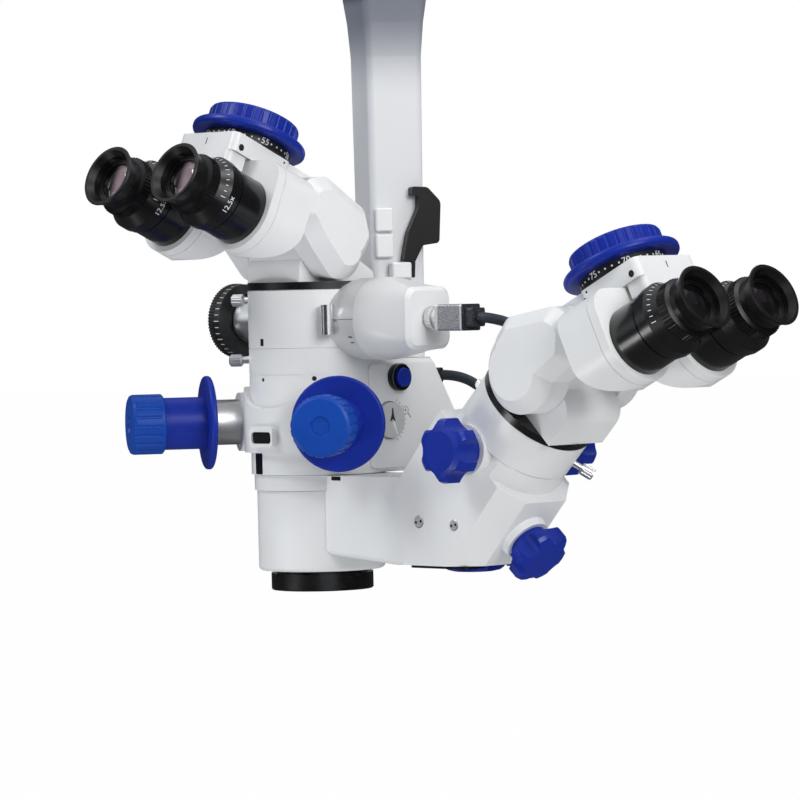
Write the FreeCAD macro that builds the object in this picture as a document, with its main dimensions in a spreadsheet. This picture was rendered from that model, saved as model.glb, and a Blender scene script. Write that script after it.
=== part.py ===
import FreeCAD, Part
import math
import os
import re
import Sketcher

# A ceiling-hung surgical microscope head, in millimetres.
# Lengths are first given from the underside of the objective ring, on the optical axis, with the
# surgeon sitting towards -Y and the assistant towards +X. The finished model is then carried to
# the centre of the arm's top flange, which is where the microscope hangs.

DRIVING = {
    # the hanging column and its flange
    "hang_height": 414.0, "column_back": 72.0, "column_turn": -25.0,
    "column_foot_height": 155.4, "flare_drop": 52.0, "column_width": 35.5, "column_depth": 37.5,
    "column_widening": 3.0, "flare_widening": 8.0, "column_round": 5.0,
    "flange_width": 58.0, "flange_depth": 60.0, "flange_thickness": 9.0, "flange_round": 7.0,
    "flange_screw_radius": 3.3, "flange_screw_circle": 22.0, "cable_bore_radius": 10.0,
    "cable_bore_depth": 60.0, "swivel_shaft_radius": 11.0, "swivel_shaft_length": 30.0,
    "clip_width": 12.5, "clip_height": 16.0, "clip_thickness": 3.5, "clip_step": 18.0,
    # fits
    "shaft_clearance": 0.05, "running_gap": 0.3, "seat_gap": 0.1,
    # optical body
    "body_radius": 46.5, "body_floor": 79.0, "splitter_floor": 164.0, "splitter_top": 203.6,
    "rear_top": 155.0, "rear_reach_low": 110.0, "rear_reach_top": 66.0,
    "pedestal_radius": 26.0, "rear_round": 6.0, "panel_thickness": 1.2,
    "neck_radius": 36.0, "barrel_radius": 43.0, "barrel_floor": 13.0, "barrel_top": 68.0,
    "ring_radius": 34.7, "ring_height": 11.4, "lens_radius": 29.0, "lens_thickness": 6.0,
    "swivel_radius": 44.6, "seam_drop": 18.0,
    # controls on the side panel
    "button_y": 28.7, "button_z": 142.8, "button_radius": 6.4, "button_collar": 9.0,
    "button_collar_height": 4.6, "button_height": 7.4, "button_travel": 2.0,
    "dial_y": 20.0, "dial_z": 114.0, "dial_radius": 12.2, "dial_height": 3.4,
    # handles
    "handle_z": 114.0, "handle_angle": 57.0, "handle_flange_reach": 69.5, "handle_offset": 29.7,
    "handle_tube_radius": 15.5, "handle_tube_wall": 2.5, "carrier_wall": 4.1,
    "carrier_top": 138.0, "carrier_floor": 94.0, "carrier_dip": 124.0, "carrier_saddle": 60.0,
    "carrier_boss_radius": 20.0, "carrier_boss_reach": 50.0,
    "grip_flange_radius": 32.0, "grip_flange_thickness": 4.5, "grip_sleeve_radius": 17.8,
    "grip_sleeve_length": 29.0, "grip_cap_radius": 20.5, "grip_cap_length": 23.0,
    "grip_dimple_radius": 6.8,
    # side ports
    "port_z": 183.0, "iris_neck_radius": 15.5, "iris_face": 71.0, "iris_wheel_radius": 25.0,
    "iris_wheel_width": 11.0, "camera_start": 63.0, "camera_collar_radius": 27.5,
    "camera_plug_radius": 18.5, "clamp_barrel_radius": 4.6, "clamp_barrel_x": 43.0,
    "camera_end": 108.6, "camera_square": 41.0, "camera_round": 8.0,
    "connector_radius": 6.7, "connector_length": 12.4, "backshell_side": 17.6,
    "backshell_length": 25.0, "clamp_length": 7.0, "cable_radius": 3.5,
    "gland_angle": 26.6, "gland_height": 142.5, "gland_length": 11.0,
    "screw_head_radius": 5.0, "screw_length": 15.0,
    # assistant scope
    "foot_half_width": 27.8, "foot_floor": 20.0, "hub_x": 135.0, "hub_z": 54.0,
    "hub_radius": 33.0, "cheek_half_width": 34.0, "tube_radius": 40.0, "tube_reach": 99.9,
    "tube_seam": 27.0, "star_radius": 21.0, "star_height": 19.0, "star_stud_radius": 4.0,
    "focus_along": 62.0, "focus_face": 66.0, "focus_star_height": 24.0, "focus_boss_radius": 16.5,
    "tilt_boss_radius": 15.5, "tilt_boss_height": 5.0,
    "lock_x": 144.0, "lock_floor": 16.0, "cover_thickness": 2.0,
    # inclinable binocular
    "ring_black_height": 5.1, "hinge_width": 25.5, "drum_radius": 21.5,
    "arm_inner": 25.9, "arm_outer": 51.5,
    "surgeon_hinge_forward": 17.0, "surgeon_hinge_height": 20.5,
    "assistant_hinge_forward": 0.0, "assistant_hinge_height": 29.5,
    "link_forward": 21.0, "link_height": 27.8, "assistant_arm_back": 21.75,
    "eyepiece_tilt": 66.0, "assistant_eyepiece_tilt": 19.5,
    "pupil_distance": 65.5, "eyepiece_drop": 26.0, "rim_reach": 119.1, "collar_face": 55.4,
    "collar_back": 20.5, "collar_radius": 27.2, "collar_round": 26.0, "collar_lip": 7.0,
    "seam_depth": 0.5, "plate_top": 24.6, "plate_width": 56.0, "plate_front": 73.4, "plate_thickness": 13.0,
    "rail_gap": 0.3, "nose_socket": 2.3, "knob_forward": 38.5, "knob_low": 31.5, "knob_radius": 39.0,
    "knob_flange": 6.0, "knob_crown_radius": 31.0, "knob_crown": 12.5, "scale_radius": 29.5,
    "knob_stub": 7.0,
    "eyepiece_radius": 23.0, "diopter_radius": 20.0, "cup_radius": 21.2, "cup_bore": 15.0,
}
KNURLS = 20
KNOB_RIBS = 32
STAR_LOBES = 6

doc = FreeCAD.newDocument("surgical_microscope")
sheet = doc.addObject("Spreadsheet::Sheet", "sizes")
for row, (alias, value) in enumerate(DRIVING.items(), start=1):
    sheet.set(f"A{row}", alias)
    sheet.set(f"B{row}", str(value))
    sheet.setAlias(f"B{row}", alias)
doc.recompute()

V = FreeCAD.Vector
X_AXIS, Y_AXIS, Z_AXIS = V(1, 0, 0), V(0, 1, 0), V(0, 0, 1)
made = []


def size(name):
    return float(sheet.get(name))


def formula(text):
    """Turns plain names into the sheet's cells."""
    return re.sub(r"[a-z]+_\w+", lambda match: "sizes." + match.group(0), text)


def worth(text):
    found = sheet.evalExpression(formula(text))
    return float(getattr(found, "Value", found))


def place(base=(0, 0, 0), turn=None):
    return FreeCAD.Placement(V(*base), turn or FreeCAD.Rotation())


def facing(direction):
    """A turn that takes +Z to the direction given."""
    return FreeCAD.Rotation(Z_AXIS, V(*direction))


TO_MODEL = place((0, -size("column_back"), -size("hang_height")))


def finish(label, thing, placement):
    thing.Label = label
    thing.Placement = TO_MODEL.multiply(placement)
    made.append(thing)
    return thing


def shaped(label, shape, placement=None):
    """A piece whose form is worked out directly from the sizes."""
    thing = doc.addObject("Part::Feature", label)
    thing.Shape = shape.removeSplitter() if len(shape.Solids) == 1 else shape
    return finish(label, thing, placement or place())


def turned(label, stations, placement=None, rounds=None, cuts=None):
    """A lathe piece: a closed outline of radius and height formulas, spun about +Z."""
    body = doc.addObject("PartDesign::Body", label)
    sketch = body.newObject("Sketcher::SketchObject", label + "_outline")
    plane = [part for part in body.Origin.OriginFeatures if part.Role == "XZ_Plane"][0]
    sketch.AttachmentSupport = [(plane, "")]
    sketch.MapMode = "FlatFace"
    spots = [V(worth(r), worth(z), 0) for r, z in stations]
    count = len(spots)
    sketch.addGeometry([Part.LineSegment(spots[n], spots[(n + 1) % count]) for n in range(count)])
    sketch.addConstraint([Sketcher.Constraint("Coincident", n, 2, (n + 1) % count, 1)
                          for n in range(count)])
    for n, (r, z) in enumerate(stations):
        for kind, text, here in (("DistanceX", r, spots[n].x), ("DistanceY", z, spots[n].y)):
            at = sketch.addConstraint(Sketcher.Constraint(kind, -1, 1, n, 1, here))
            sketch.setExpression(f"Constraints[{at}]", formula(text))
    spin = body.newObject("PartDesign::Revolution", label + "_spin")
    spin.Profile = sketch
    spin.ReferenceAxis = (sketch, ["V_Axis"])
    spin.Angle = 360
    doc.recompute()
    for radius, where in (rounds or {}).items():
        soften(body, label, radius, [spots[n] for n in where])
    for cut in cuts or []:
        cut(body, label)
    return finish(label, body, placement or place())


def soften(body, label, radius, spots):
    """Rounds the circular edges that pass through the outline's spots."""
    edges = []
    for n, edge in enumerate(body.Shape.Edges, start=1):
        if not hasattr(edge.Curve, "Radius"):
            continue
        for spot in spots:
            if abs(edge.Curve.Radius - spot.x) < 1e-4 and abs(edge.Curve.Center.z - spot.y) < 1e-4:
                edges.append(f"Edge{n}")
    before = body.Tip
    fillet = body.newObject("PartDesign::Fillet", label + "_rounds")
    fillet.Base = (before, sorted(set(edges)))
    fillet.setExpression("Radius", formula(radius))
    body.Tip = fillet
    doc.recompute()


def scallops(count, radius, reach, low, high):
    """Cuts a ring of round grooves along +Z, at a reach from the axis."""
    def cut(body, label):
        groove = body.newObject("PartDesign::SubtractiveCylinder", label + "_groove")
        groove.setExpression("Radius", formula(radius))
        groove.setExpression("Height", formula(f"({high}) - ({low})"))
        groove.Placement = place((worth(reach), 0, worth(low)))
        axis = [part for part in body.Origin.OriginFeatures if part.Role == "Z_Axis"][0]
        ring = body.newObject("PartDesign::PolarPattern", label + "_grooves")
        ring.Originals = [groove]
        ring.Axis = (axis, [""])
        ring.Angle = 360
        ring.Occurrences = count
        body.Tip = ring
        doc.recompute()
    return cut


def rod(radius, base, direction, length):
    return Part.makeCylinder(radius, length, V(*base), V(*direction))


def block(low, high):
    return Part.makeBox(high[0] - low[0], high[1] - low[1], high[2] - low[2], V(*low))


def outline(corners):
    """A closed wire through (u, v, radius) corners in the XY plane, each rounded by its radius."""
    spots = [V(u, v, 0) for u, v, _ in corners]
    edges, ends = [], []
    for n, (u, v, radius) in enumerate(corners):
        here = spots[n]
        back = (spots[n - 1] - here).normalize()
        ahead = (spots[(n + 1) % len(spots)] - here).normalize()
        half = back.getAngle(ahead) / 2
        if radius <= 0:
            ends.append((here, here, None))
            continue
        reach = radius / math.tan(half)
        middle = here + (back + ahead).normalize() * (radius / math.sin(half) - radius)
        ends.append((here + back * reach, here + ahead * reach, middle))
    for n, (start, stop, middle) in enumerate(ends):
        if middle is not None:
            edges.append(Part.Arc(start, middle, stop).toShape())
        following = ends[(n + 1) % len(ends)][0]
        if stop.distanceToPoint(following) > 1e-6:
            edges.append(Part.LineSegment(stop, following).toShape())
    return Part.Wire(edges)


def slab(corners, low, high):
    """An outline in the XY plane, raised from low to high along +Z."""
    face = Part.Face(outline(corners))
    face.translate(V(0, 0, low))
    return face.extrude(V(0, 0, high - low))


def side_slab(corners, half):
    """An outline given as (forward, up), standing in the plane of the optics, wide along X."""
    solid = slab(corners, -half, half)
    solid.Placement = place((0, 0, 0), FreeCAD.Rotation(V(0, -1, 0), V(0, 0, 1), V(-1, 0, 0), "XYZ"))
    return solid


def rounded_square(half, radius, across=None):
    across = half if across is None else across
    return [(-half, -across, radius), (half, -across, radius), (half, across, radius),
            (-half, across, radius)]


def loft(sections, ruled=True):
    """A solid through wires, each given as (corners, height)."""
    wires = []
    for corners, height in sections:
        wire = outline(corners)
        wire.translate(V(0, 0, height))
        wires.append(wire)
    return Part.makeLoft(wires, True, ruled)


# The hanging column, which carries everything.
def build_arm():
    turn = FreeCAD.Rotation(Z_AXIS, size("column_turn"))
    at = place((0, size("column_back"), 0), turn)
    width, depth, corner = size("column_width") / 2, size("column_depth") / 2, size("column_round")
    foot, top = size("column_foot_height"), size("hang_height") - size("flange_thickness")
    flare = size("hang_height") - size("flare_drop")
    more = size("column_widening") / 2
    wide = more + size("flare_widening") / 2
    column = loft([(rounded_square(width, corner, depth), foot),
                   (rounded_square(width + more, corner, depth + more), flare)])
    part_way = flare + (top - flare) * 0.55
    some = more + (wide - more) * 0.4
    column = column.fuse(loft([(rounded_square(width + more, corner, depth + more), flare),
                               (rounded_square(width + some, corner, depth + some), part_way),
                               (rounded_square(width + wide, corner, depth + wide), top)]))
    bore = rod(size("cable_bore_radius"), (0, 0, size("hang_height") - size("cable_bore_depth")),
               (0, 0, 1), size("cable_bore_depth"))
    shaft_hole = rod(size("swivel_shaft_radius"), (0, 0, foot), (0, 0, 1), 20)
    shaped("arm_column", column.cut(bore).cut(shaft_hole), at)

    half, deep = size("flange_width") / 2, size("flange_depth") / 2
    plate = slab(rounded_square(half, size("flange_round"), deep), top, size("hang_height"))
    plate = plate.cut(bore)
    for turn_by in range(45, 360, 90):
        angle = math.radians(turn_by)
        circle = size("flange_screw_circle")
        plate = plate.cut(rod(size("flange_screw_radius"),
                              (circle * math.cos(angle), circle * math.sin(angle), top),
                              (0, 0, 1), size("flange_thickness")))
    shaped("arm_flange", plate, at)

    shaft = doc.addObject("Part::Cylinder", "swivel_shaft")
    shaft.setExpression("Radius", "sizes.swivel_shaft_radius")
    shaft.setExpression("Height", "sizes.swivel_shaft_length + 20")
    finish("swivel_shaft", shaft,
           place((0, size("column_back"), foot - size("swivel_shaft_length"))))

    # Two clip covers and two brackets lead the cables down the column's right-hand face.
    face = width + size("column_widening") * 0.31
    thick = size("clip_thickness")
    clips = [block((face, -17.5, 224 + n * size("clip_step")),
                   (face + thick, -17.5 + size("clip_width"), 224 + n * size("clip_step")
                    + size("clip_height"))) for n in range(2)]
    clips.append(block((face, -8, 209.5), (face + 8, 6, 220.6)))
    clips = [clip.makeChamfer(0.9, clip.Edges) for clip in clips]
    shaped("cable_clips", Part.makeCompound(clips), at)

    # The flat moulded cable hook beside them: a broad paddle over a long curved stem.
    hook = slab([(7.5, 272.5, 2), (19, 272, 5), (28.5, 262, 6), (27, 233.5, 3), (15, 232, 2),
                 (9, 221, 1), (8.5, 210, 0.8), (6.6, 210, 0.8), (6.3, 221, 1), (0.5, 222, 1),
                 (4.5, 241, 15), (12.5, 258, 8), (12.5, 266, 1), (7.5, 266, 1)], face, face + 7)
    hook.Placement = place((0, 0, 0), FreeCAD.Rotation(V(0, 1, 0), V(0, 0, 1), V(1, 0, 0), "XYZ"))
    shaped("cable_hook", hook, at)


# The optical body, its ports and controls.
def build_body():
    radius, floor = size("body_radius"), size("body_floor")
    seam = size("splitter_floor") - size("seam_drop")
    drum = rod(radius, (0, 0, floor), (0, 0, 1), seam - floor)
    upper = rod(radius - 0.4, (0, 0, seam), (0, 0, 1), 0.8)
    upper = upper.fuse(rod(radius, (0, 0, seam + 0.8), (0, 0, 1), size("seam_drop") - 0.8))
    rear = slab([(0, floor, 0), (size("rear_reach_low"), floor, size("rear_round")),
                 (size("rear_reach_top"), size("rear_top"), size("rear_round")),
                 (0, size("rear_top"), 0)], -radius, radius)
    rear.Placement = place((0, 0, 0), FreeCAD.Rotation(V(0, 1, 0), V(0, 0, 1), V(1, 0, 0), "XYZ"))
    edges = [edge for edge in rear.Edges
             if edge.BoundBox.YMin > 5 and edge.BoundBox.XLength < 0.01 and edge.BoundBox.ZMin > floor]
    rear = rear.makeFillet(4, edges)
    neck = rod(size("neck_radius"), (0, 0, size("barrel_top")), (0, 0, 1), floor - size("barrel_top"))
    pedestal = rod(size("pedestal_radius"), (0, size("column_back"), floor + 6), (0, 0, 1),
                   size("rear_top") - floor - 6)
    shell = drum.fuse([upper, rear, neck, pedestal])
    hole = size("swivel_shaft_radius") + size("shaft_clearance")
    depth = size("swivel_shaft_length") + 1 + size("rear_top") - size("column_foot_height")
    shell = shell.cut(rod(hole, (0, size("column_back"), size("rear_top") - depth), (0, 0, 1), depth))
    clear = size("running_gap")
    button = size("button_radius")
    shell = shell.cut(rod(button - 1, (radius - 9, size("button_y"), size("button_z")), (1, 0, 0), 9))
    shell = shell.cut(rod(5 + size("shaft_clearance"), (radius - 12, size("dial_y"), size("dial_z")),
                          (1, 0, 0), 12))
    shaped("body_housing", shell)

    # the flat cover plate with the controls
    thick = size("panel_thickness")
    rim = 3.0
    corners = [(2, floor + rim, 3), (size("rear_reach_low") - 2 * rim, floor + rim, 4),
               (size("rear_reach_top") - rim, size("rear_top") - rim, 6), (2, size("rear_top") - rim, 3)]
    panel = slab(corners, radius, radius + thick)
    panel.Placement = place((0, 0, 0), FreeCAD.Rotation(V(0, 1, 0), V(0, 0, 1), V(1, 0, 0), "XYZ"))
    panel = panel.fuse(rod(size("button_collar"), (radius, size("button_y"), size("button_z")),
                           (1, 0, 0), thick + size("button_collar_height")))
    panel = panel.cut(rod(button + clear, (radius, size("button_y"), size("button_z")), (1, 0, 0), 20))
    panel = panel.cut(rod(5 + size("shaft_clearance"), (radius, size("dial_y"), size("dial_z")),
                          (1, 0, 0), 5))
    shaped("side_panel", panel)

    turned("focus_depth_button",
           [("0", "-button_travel - 3"), ("button_radius - 1.2", "-button_travel - 3"),
            ("button_radius - 1.2", "button_travel + 0.4"), ("button_radius", "button_travel + 0.4"),
            ("button_radius", "button_height + panel_thickness"),
            ("0", "button_height + panel_thickness")],
           place((radius, size("button_y"), size("button_z")), facing((1, 0, 0))),
           rounds={"seat_gap * 12": [4]})
    turned("zoom_dial",
           [("0", "-10"), ("5", "-10"), ("5", "panel_thickness + 0.3"),
            ("dial_radius", "panel_thickness + 0.3"), ("dial_radius", "panel_thickness + dial_height"),
            ("0", "panel_thickness + dial_height")],
           place((radius, size("dial_y"), size("dial_z")), facing((1, 0, 0))),
           rounds={"seat_gap * 8": [4]})

    # objective barrel, focusing lens and filter ring
    turned("objective_housing",
           [("lens_radius + 2", "barrel_floor + 2"), ("barrel_radius", "barrel_floor"),
            ("barrel_radius", "barrel_top"), ("lens_radius + 2", "barrel_top")],
           rounds={"rear_round / 2": [1]})
    turned("objective_lens",
           [("0", "ring_height + 8"), ("lens_radius - 6", "ring_height + 6.6"),
            ("lens_radius + 1.9", "ring_height + 5"),
            ("lens_radius + 1.9", "ring_height + 5 + lens_thickness"),
            ("lens_radius - 6", "ring_height + 6 + lens_thickness"),
            ("0", "ring_height + 7 + lens_thickness")])
    turned("objective_ring",
           [("lens_radius", "1.4"), ("lens_radius + 1.4", "0"), ("ring_radius - 0.8", "0"),
            ("ring_radius", "0.8"),
            ("ring_radius", "ring_height"), ("lens_radius + 1.9", "ring_height"),
            ("lens_radius + 1.9", "barrel_floor + 1.9"), ("lens_radius", "barrel_floor + 1.9")])

    # beam splitter block on top, with its prism
    splitter = rod(radius, (0, 0, size("splitter_floor")), (0, 0, 1),
                   size("splitter_top") - size("splitter_floor"))
    splitter = splitter.makeChamfer(0.6, [edge for edge in splitter.Edges if edge.BoundBox.ZLength < 0.1])
    splitter = splitter.cut(block((-19.3, -19.3, 169), (19.3, 19.3, 199)))
    port = size("port_z")
    splitter = splitter.cut(rod(size("iris_neck_radius") + 0.1, (-60, 0, port), (1, 0, 0), 22))
    splitter = splitter.cut(rod(size("camera_plug_radius") + 0.1, (40, 0, port), (1, 0, 0), 22))
    shaped("beam_splitter_housing", splitter)
    shaped("beam_splitter_prism", block((-19, -19, 169.3), (19, 19, 198.7)))

    # the iris port on the left
    turned("iris_port_neck",
           [("0", "38"), ("iris_neck_radius", "38"), ("iris_neck_radius", "iris_face - 4"),
            ("iris_neck_radius - 2.5", "iris_face - 4"), ("iris_neck_radius - 2.5", "iris_face + 8"),
            ("0", "iris_face + 8")],
           place((0, 0, port), facing((-1, 0, 0))), rounds={"seat_gap * 5": [2]})
    turned("iris_wheel",
           [("iris_neck_radius - 2.5 + shaft_clearance", "iris_face - 3.6"),
            ("iris_neck_radius + 3", "iris_face - 3.6"), ("iris_wheel_radius", "iris_face"),
            ("iris_wheel_radius", "iris_face + iris_wheel_width"),
            ("0", "iris_face + iris_wheel_width"), ("0", "iris_face + 8.3"),
            ("iris_neck_radius - 2.5 + shaft_clearance", "iris_face + 8.3")],
           place((0, 0, port), facing((-1, 0, 0))), rounds={"seat_gap * 10": [3]})

    # two knurled thumbscrews clamp the splitter and the eyepiece tube
    heads = []
    for height in (156.0, 197.0):
        angle = math.radians(205 if height > 180 else 212)
        way = V(math.cos(angle), math.sin(angle), 0)
        start = way * (radius + 0.1)
        stem = rod(2.2, (start.x, start.y, height), way, 6)
        head = rod(size("screw_head_radius") - 1.2, (start.x + way.x * 6, start.y + way.y * 6, height),
                   way, size("screw_length") - 6)
        rims = [edge for edge in head.Edges if hasattr(edge.Curve, "Radius")]
        heads.append(stem.fuse(head.makeChamfer(0.8, rims)))
    shaped("clamp_screws", Part.makeCompound(heads))


def build_camera():
    port = size("port_z")
    way = (1, 0, 0)
    collar = rod(size("camera_collar_radius"), (34, 0, port), way, size("camera_start") - 34)
    collar = collar.cut(rod(size("body_radius") + size("seat_gap"), (0, 0, port - 60), (0, 0, 1), 120))
    plug = rod(size("camera_plug_radius"), (40.5, 0, port), way, size("camera_start") - 40.5)
    collar = collar.fuse(plug)
    split = block((30, -0.4, port - size("camera_collar_radius") - 1),
                  (size("camera_start") - 6, 0.4, port - size("camera_plug_radius") - 2))
    collar = collar.cut(split)
    barrel_y = 0.8 - size("camera_collar_radius") - size("clamp_barrel_radius")
    barrel = rod(size("clamp_barrel_radius"), (size("clamp_barrel_x"), barrel_y, port - 10), (0, 0, 1), 20)
    shaped("camera_collar", collar.fuse(barrel))
    square = size("camera_square") / 2
    big = size("camera_collar_radius")
    start, end = size("camera_start"), size("camera_end")
    span = end - start
    case = loft([(rounded_square(big, big - 1.5), start),
                 (rounded_square(big - 0.8, big - 5), start + span * 0.3),
                 (rounded_square(square + 1.8, size("camera_round") + 5), start + span * 0.7),
                 (rounded_square(square + 0.3, size("camera_round")), end - 3)], False)
    case = case.fuse(loft([(rounded_square(square + 0.3, size("camera_round")), end - 3),
                           (rounded_square(square - 2.4, size("camera_round") - 2), end)]))
    shaped("camera_housing", case, place((0, 0, port), facing((1, 0, 0))))

    plug = rod(size("connector_radius"), (0, 0, end), (0, 0, 1), size("connector_length"))
    half = size("backshell_side") / 2
    shell_start = end + size("connector_length")
    back = slab(rounded_square(half, 1.6), shell_start, shell_start + size("backshell_length"))
    clamp = slab(rounded_square(half - 2.6, 1.6), shell_start + size("backshell_length"),
                 shell_start + size("backshell_length") + size("clamp_length"))
    plug = plug.fuse(rod(size("connector_radius") + 1.5, (0, 0, end + 2), (0, 0, 1), 5))
    shaped("camera_connector", plug.fuse([back, clamp]), place((0, 0, port), facing((1, 0, 0))))

    leave = shell_start + size("backshell_length") + size("clamp_length")
    angle = math.radians(size("gland_angle"))
    gland_way = V(math.cos(angle), math.sin(angle), 0)
    gland_foot = V(0, size("column_back"), size("gland_height"))
    gland_foot = gland_foot + gland_way * (size("pedestal_radius") - 1.5)
    gland_end = gland_foot + gland_way * size("gland_length")
    before_end = gland_end + gland_way * 14
    route = [(leave, 0, port), (leave + 17, 2, port - 1), (leave + 26, 20, port - 11),
             (leave + 20, 46, port - 30), (leave - 3, 70, port - 44), (leave - 34, 87, port - 52),
             (leave - 64, 97, port - 55), (leave - 89, 100, port - 53), tuple(before_end),
             tuple(gland_end)]
    shaped("camera_cable", cord_tube(route, size("cable_radius")))
    gland = rod(6.5, gland_foot, gland_way, 4.5).fuse(rod(5.2, gland_foot, gland_way,
                                                          size("gland_length")))
    gland = gland.cut(rod(size("pedestal_radius") + size("seat_gap"),
                          (0, size("column_back"), size("gland_height") - 20), (0, 0, 1), 40))
    shaped("cable_gland", gland)


def cord_tube(route, radius):
    """Straight runs joined by tangent arcs, each as large as its two runs allow."""
    points = [V(*point) for point in route]
    edges, here, radii = [], points[0], []
    for n in range(1, len(points) - 1):
        back, ahead = points[n - 1] - points[n], points[n + 1] - points[n]
        shorter = min(back.Length, ahead.Length)
        back.normalize()
        ahead.normalize()
        turn = math.pi - back.getAngle(ahead)
        bend = 0.45 * shorter / math.tan(turn / 2)
        radii.append(round(bend, 1))
        start, stop = points[n] + back * 0.45 * shorter, points[n] + ahead * 0.45 * shorter
        inward = (back + ahead).normalize()
        middle = points[n] + inward * (bend / math.cos(turn / 2) - bend)
        edges.append(Part.LineSegment(here, start).toShape())
        edges.append(Part.Arc(start, middle, stop).toShape())
        here = stop
    edges.append(Part.LineSegment(here, points[-1]).toShape())
    path = Part.Wire(edges)
    section = Part.Wire(Part.Circle(points[0], points[1] - points[0], radius).toShape())
    tube = path.makePipeShell([section], True, True)
    print("cable radii", radii, "length", round(path.Length, 1), "volume ratio",
          round(tube.Volume / (math.pi * radius ** 2 * path.Length), 4))
    return tube


# The two handles and the fork cover that carries them.
def handle_axis(side):
    """A handle's foot point and direction, seen from above, on the side given by its sign."""
    angle = math.radians(size("handle_angle"))
    way = V(side * math.cos(angle), -math.sin(angle), 0)
    across = V(side * math.sin(angle), math.cos(angle), 0) * size("handle_offset")
    return V(across.x, across.y, size("handle_z")), way


def build_handles():
    inner = size("body_radius") + size("seat_gap")
    outer = inner + size("carrier_wall")
    low, high = size("carrier_floor"), size("carrier_top")
    shell = rod(outer, (0, 0, low), (0, 0, 1), high - low)
    tube_radius = size("handle_tube_radius")
    tube_start = size("carrier_boss_reach") - 4
    for side in (-1, 1):
        foot, way = handle_axis(side)
        shell = shell.fuse(rod(size("carrier_boss_radius"), foot + way * 20, way,
                               size("carrier_boss_reach") - 20))
    shell = shell.cut(rod(inner, (0, 0, low - 20), (0, 0, 1), high - low + 60))
    shell = shell.cut(block((-80, -8, low - 20), (80, 80, high + 40)))
    saddle = size("carrier_saddle")
    shell = shell.cut(rod(saddle, (0, -90, size("carrier_dip") + saddle), (0, 1, 0), 90))
    bulge = slab([(-11, 98, 3), (11, 98, 3), (11, 112, 3), (-11, 112, 3)], 0, 10)
    bulge.rotate(V(0, 0, 0), X_AXIS, 90)
    bulge.translate(V(0, -outer + 6, 0))
    shell = shell.fuse(bulge.cut(rod(inner, (0, 0, low), (0, 0, 1), high - low)))
    window = slab([(-9.5, 100.5, 2.5), (9.5, 100.5, 2.5), (9.5, 108.5, 2.5), (-9.5, 108.5, 2.5)], 0, 5)
    window.rotate(V(0, 0, 0), X_AXIS, 90)
    window.translate(V(0, -outer - 2, 0))
    shell = shell.cut(window)
    tubes = []
    for side in (-1, 1):
        foot, way = handle_axis(side)
        shell = shell.cut(rod(tube_radius + size("seat_gap"), foot + way * tube_start, way, 20))
        reach = size("handle_flange_reach") + size("grip_sleeve_length") + 12
        bar = rod(tube_radius, foot + way * tube_start, way, reach - tube_start)
        bar = bar.cut(rod(tube_radius - size("handle_tube_wall"), foot + way * (tube_start + 4), way,
                          reach - tube_start))
        tubes.append(bar)
    shaped("handle_carrier", shell)
    shaped("handle_tubes", Part.makeCompound(tubes))

    bore = "handle_tube_radius + shaft_clearance"
    flange_top = "grip_flange_thickness"
    sleeve_top = "grip_flange_thickness + grip_sleeve_length"
    cap_top = "grip_flange_thickness + grip_sleeve_length + grip_cap_length"
    for name, side in (("grip_left", -1), ("grip_right", 1)):
        foot, way = handle_axis(side)
        start = foot + way * size("handle_flange_reach")
        turned(name,
               [(bore, "0"), ("grip_flange_radius", "0"), ("grip_flange_radius", flange_top),
                ("grip_sleeve_radius", flange_top), ("grip_sleeve_radius", sleeve_top),
                ("grip_cap_radius - 1", sleeve_top), ("grip_cap_radius", sleeve_top + " + 1"),
                ("grip_cap_radius", cap_top + " - 2.6"),
                ("grip_cap_radius - 0.8", cap_top + " - 0.9"),
                ("grip_cap_radius - 2.6", cap_top), ("grip_dimple_radius", cap_top),
                ("grip_dimple_radius - 0.8", cap_top + " - 1.2"),
                ("0", cap_top + " - 1.2"), ("0", sleeve_top + " + 14"), (bore, sleeve_top + " + 14")],
               place((start.x, start.y, start.z), facing((way.x, way.y, way.z))),
               rounds={"grip_flange_thickness * 0.4": [1, 2]},
               cuts=[scallops(KNURLS, "1.5", "grip_cap_radius + 0.7", sleeve_top + " + 3",
                              cap_top + " + 1")])


def star_knob(label, placement, stud):
    """A six-lobed clamp knob: its seat at z = 0, its crown towards +Z, its stud towards -Z."""
    return turned(label,
                  [("0", f"-{stud}"), ("star_stud_radius", f"-{stud}"), ("star_stud_radius", "-0.2"),
                   ("star_radius - 8", "-0.2"), ("star_radius - 7.5", "star_height * 0.18"),
                   ("star_radius", "star_height * 0.4"), ("star_radius", "star_height - 5.2"),
                   ("star_radius - 1.2", "star_height - 2.6"), ("star_radius - 3.6", "star_height - 0.9"),
                   ("star_radius - 8", "star_height"), ("0", "star_height")],
                  placement,
                  cuts=[scallops(STAR_LOBES, "star_radius * 0.4", "star_radius * 1.12",
                                 "star_height * 0.1", "star_height + 3")])


# The assistant's scope: a foot that swings round the objective, a housing and a tube at 45 degrees.
def tube_frame(along=0.0):
    """Along the assistant's tube from the hub's centre: +Z up the tube, +X down to the right."""
    slope = math.sqrt(0.5)
    return place((size("hub_x") + along * slope, 0, size("hub_z") + along * slope),
                 FreeCAD.Rotation(Y_AXIS, 45))


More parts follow.
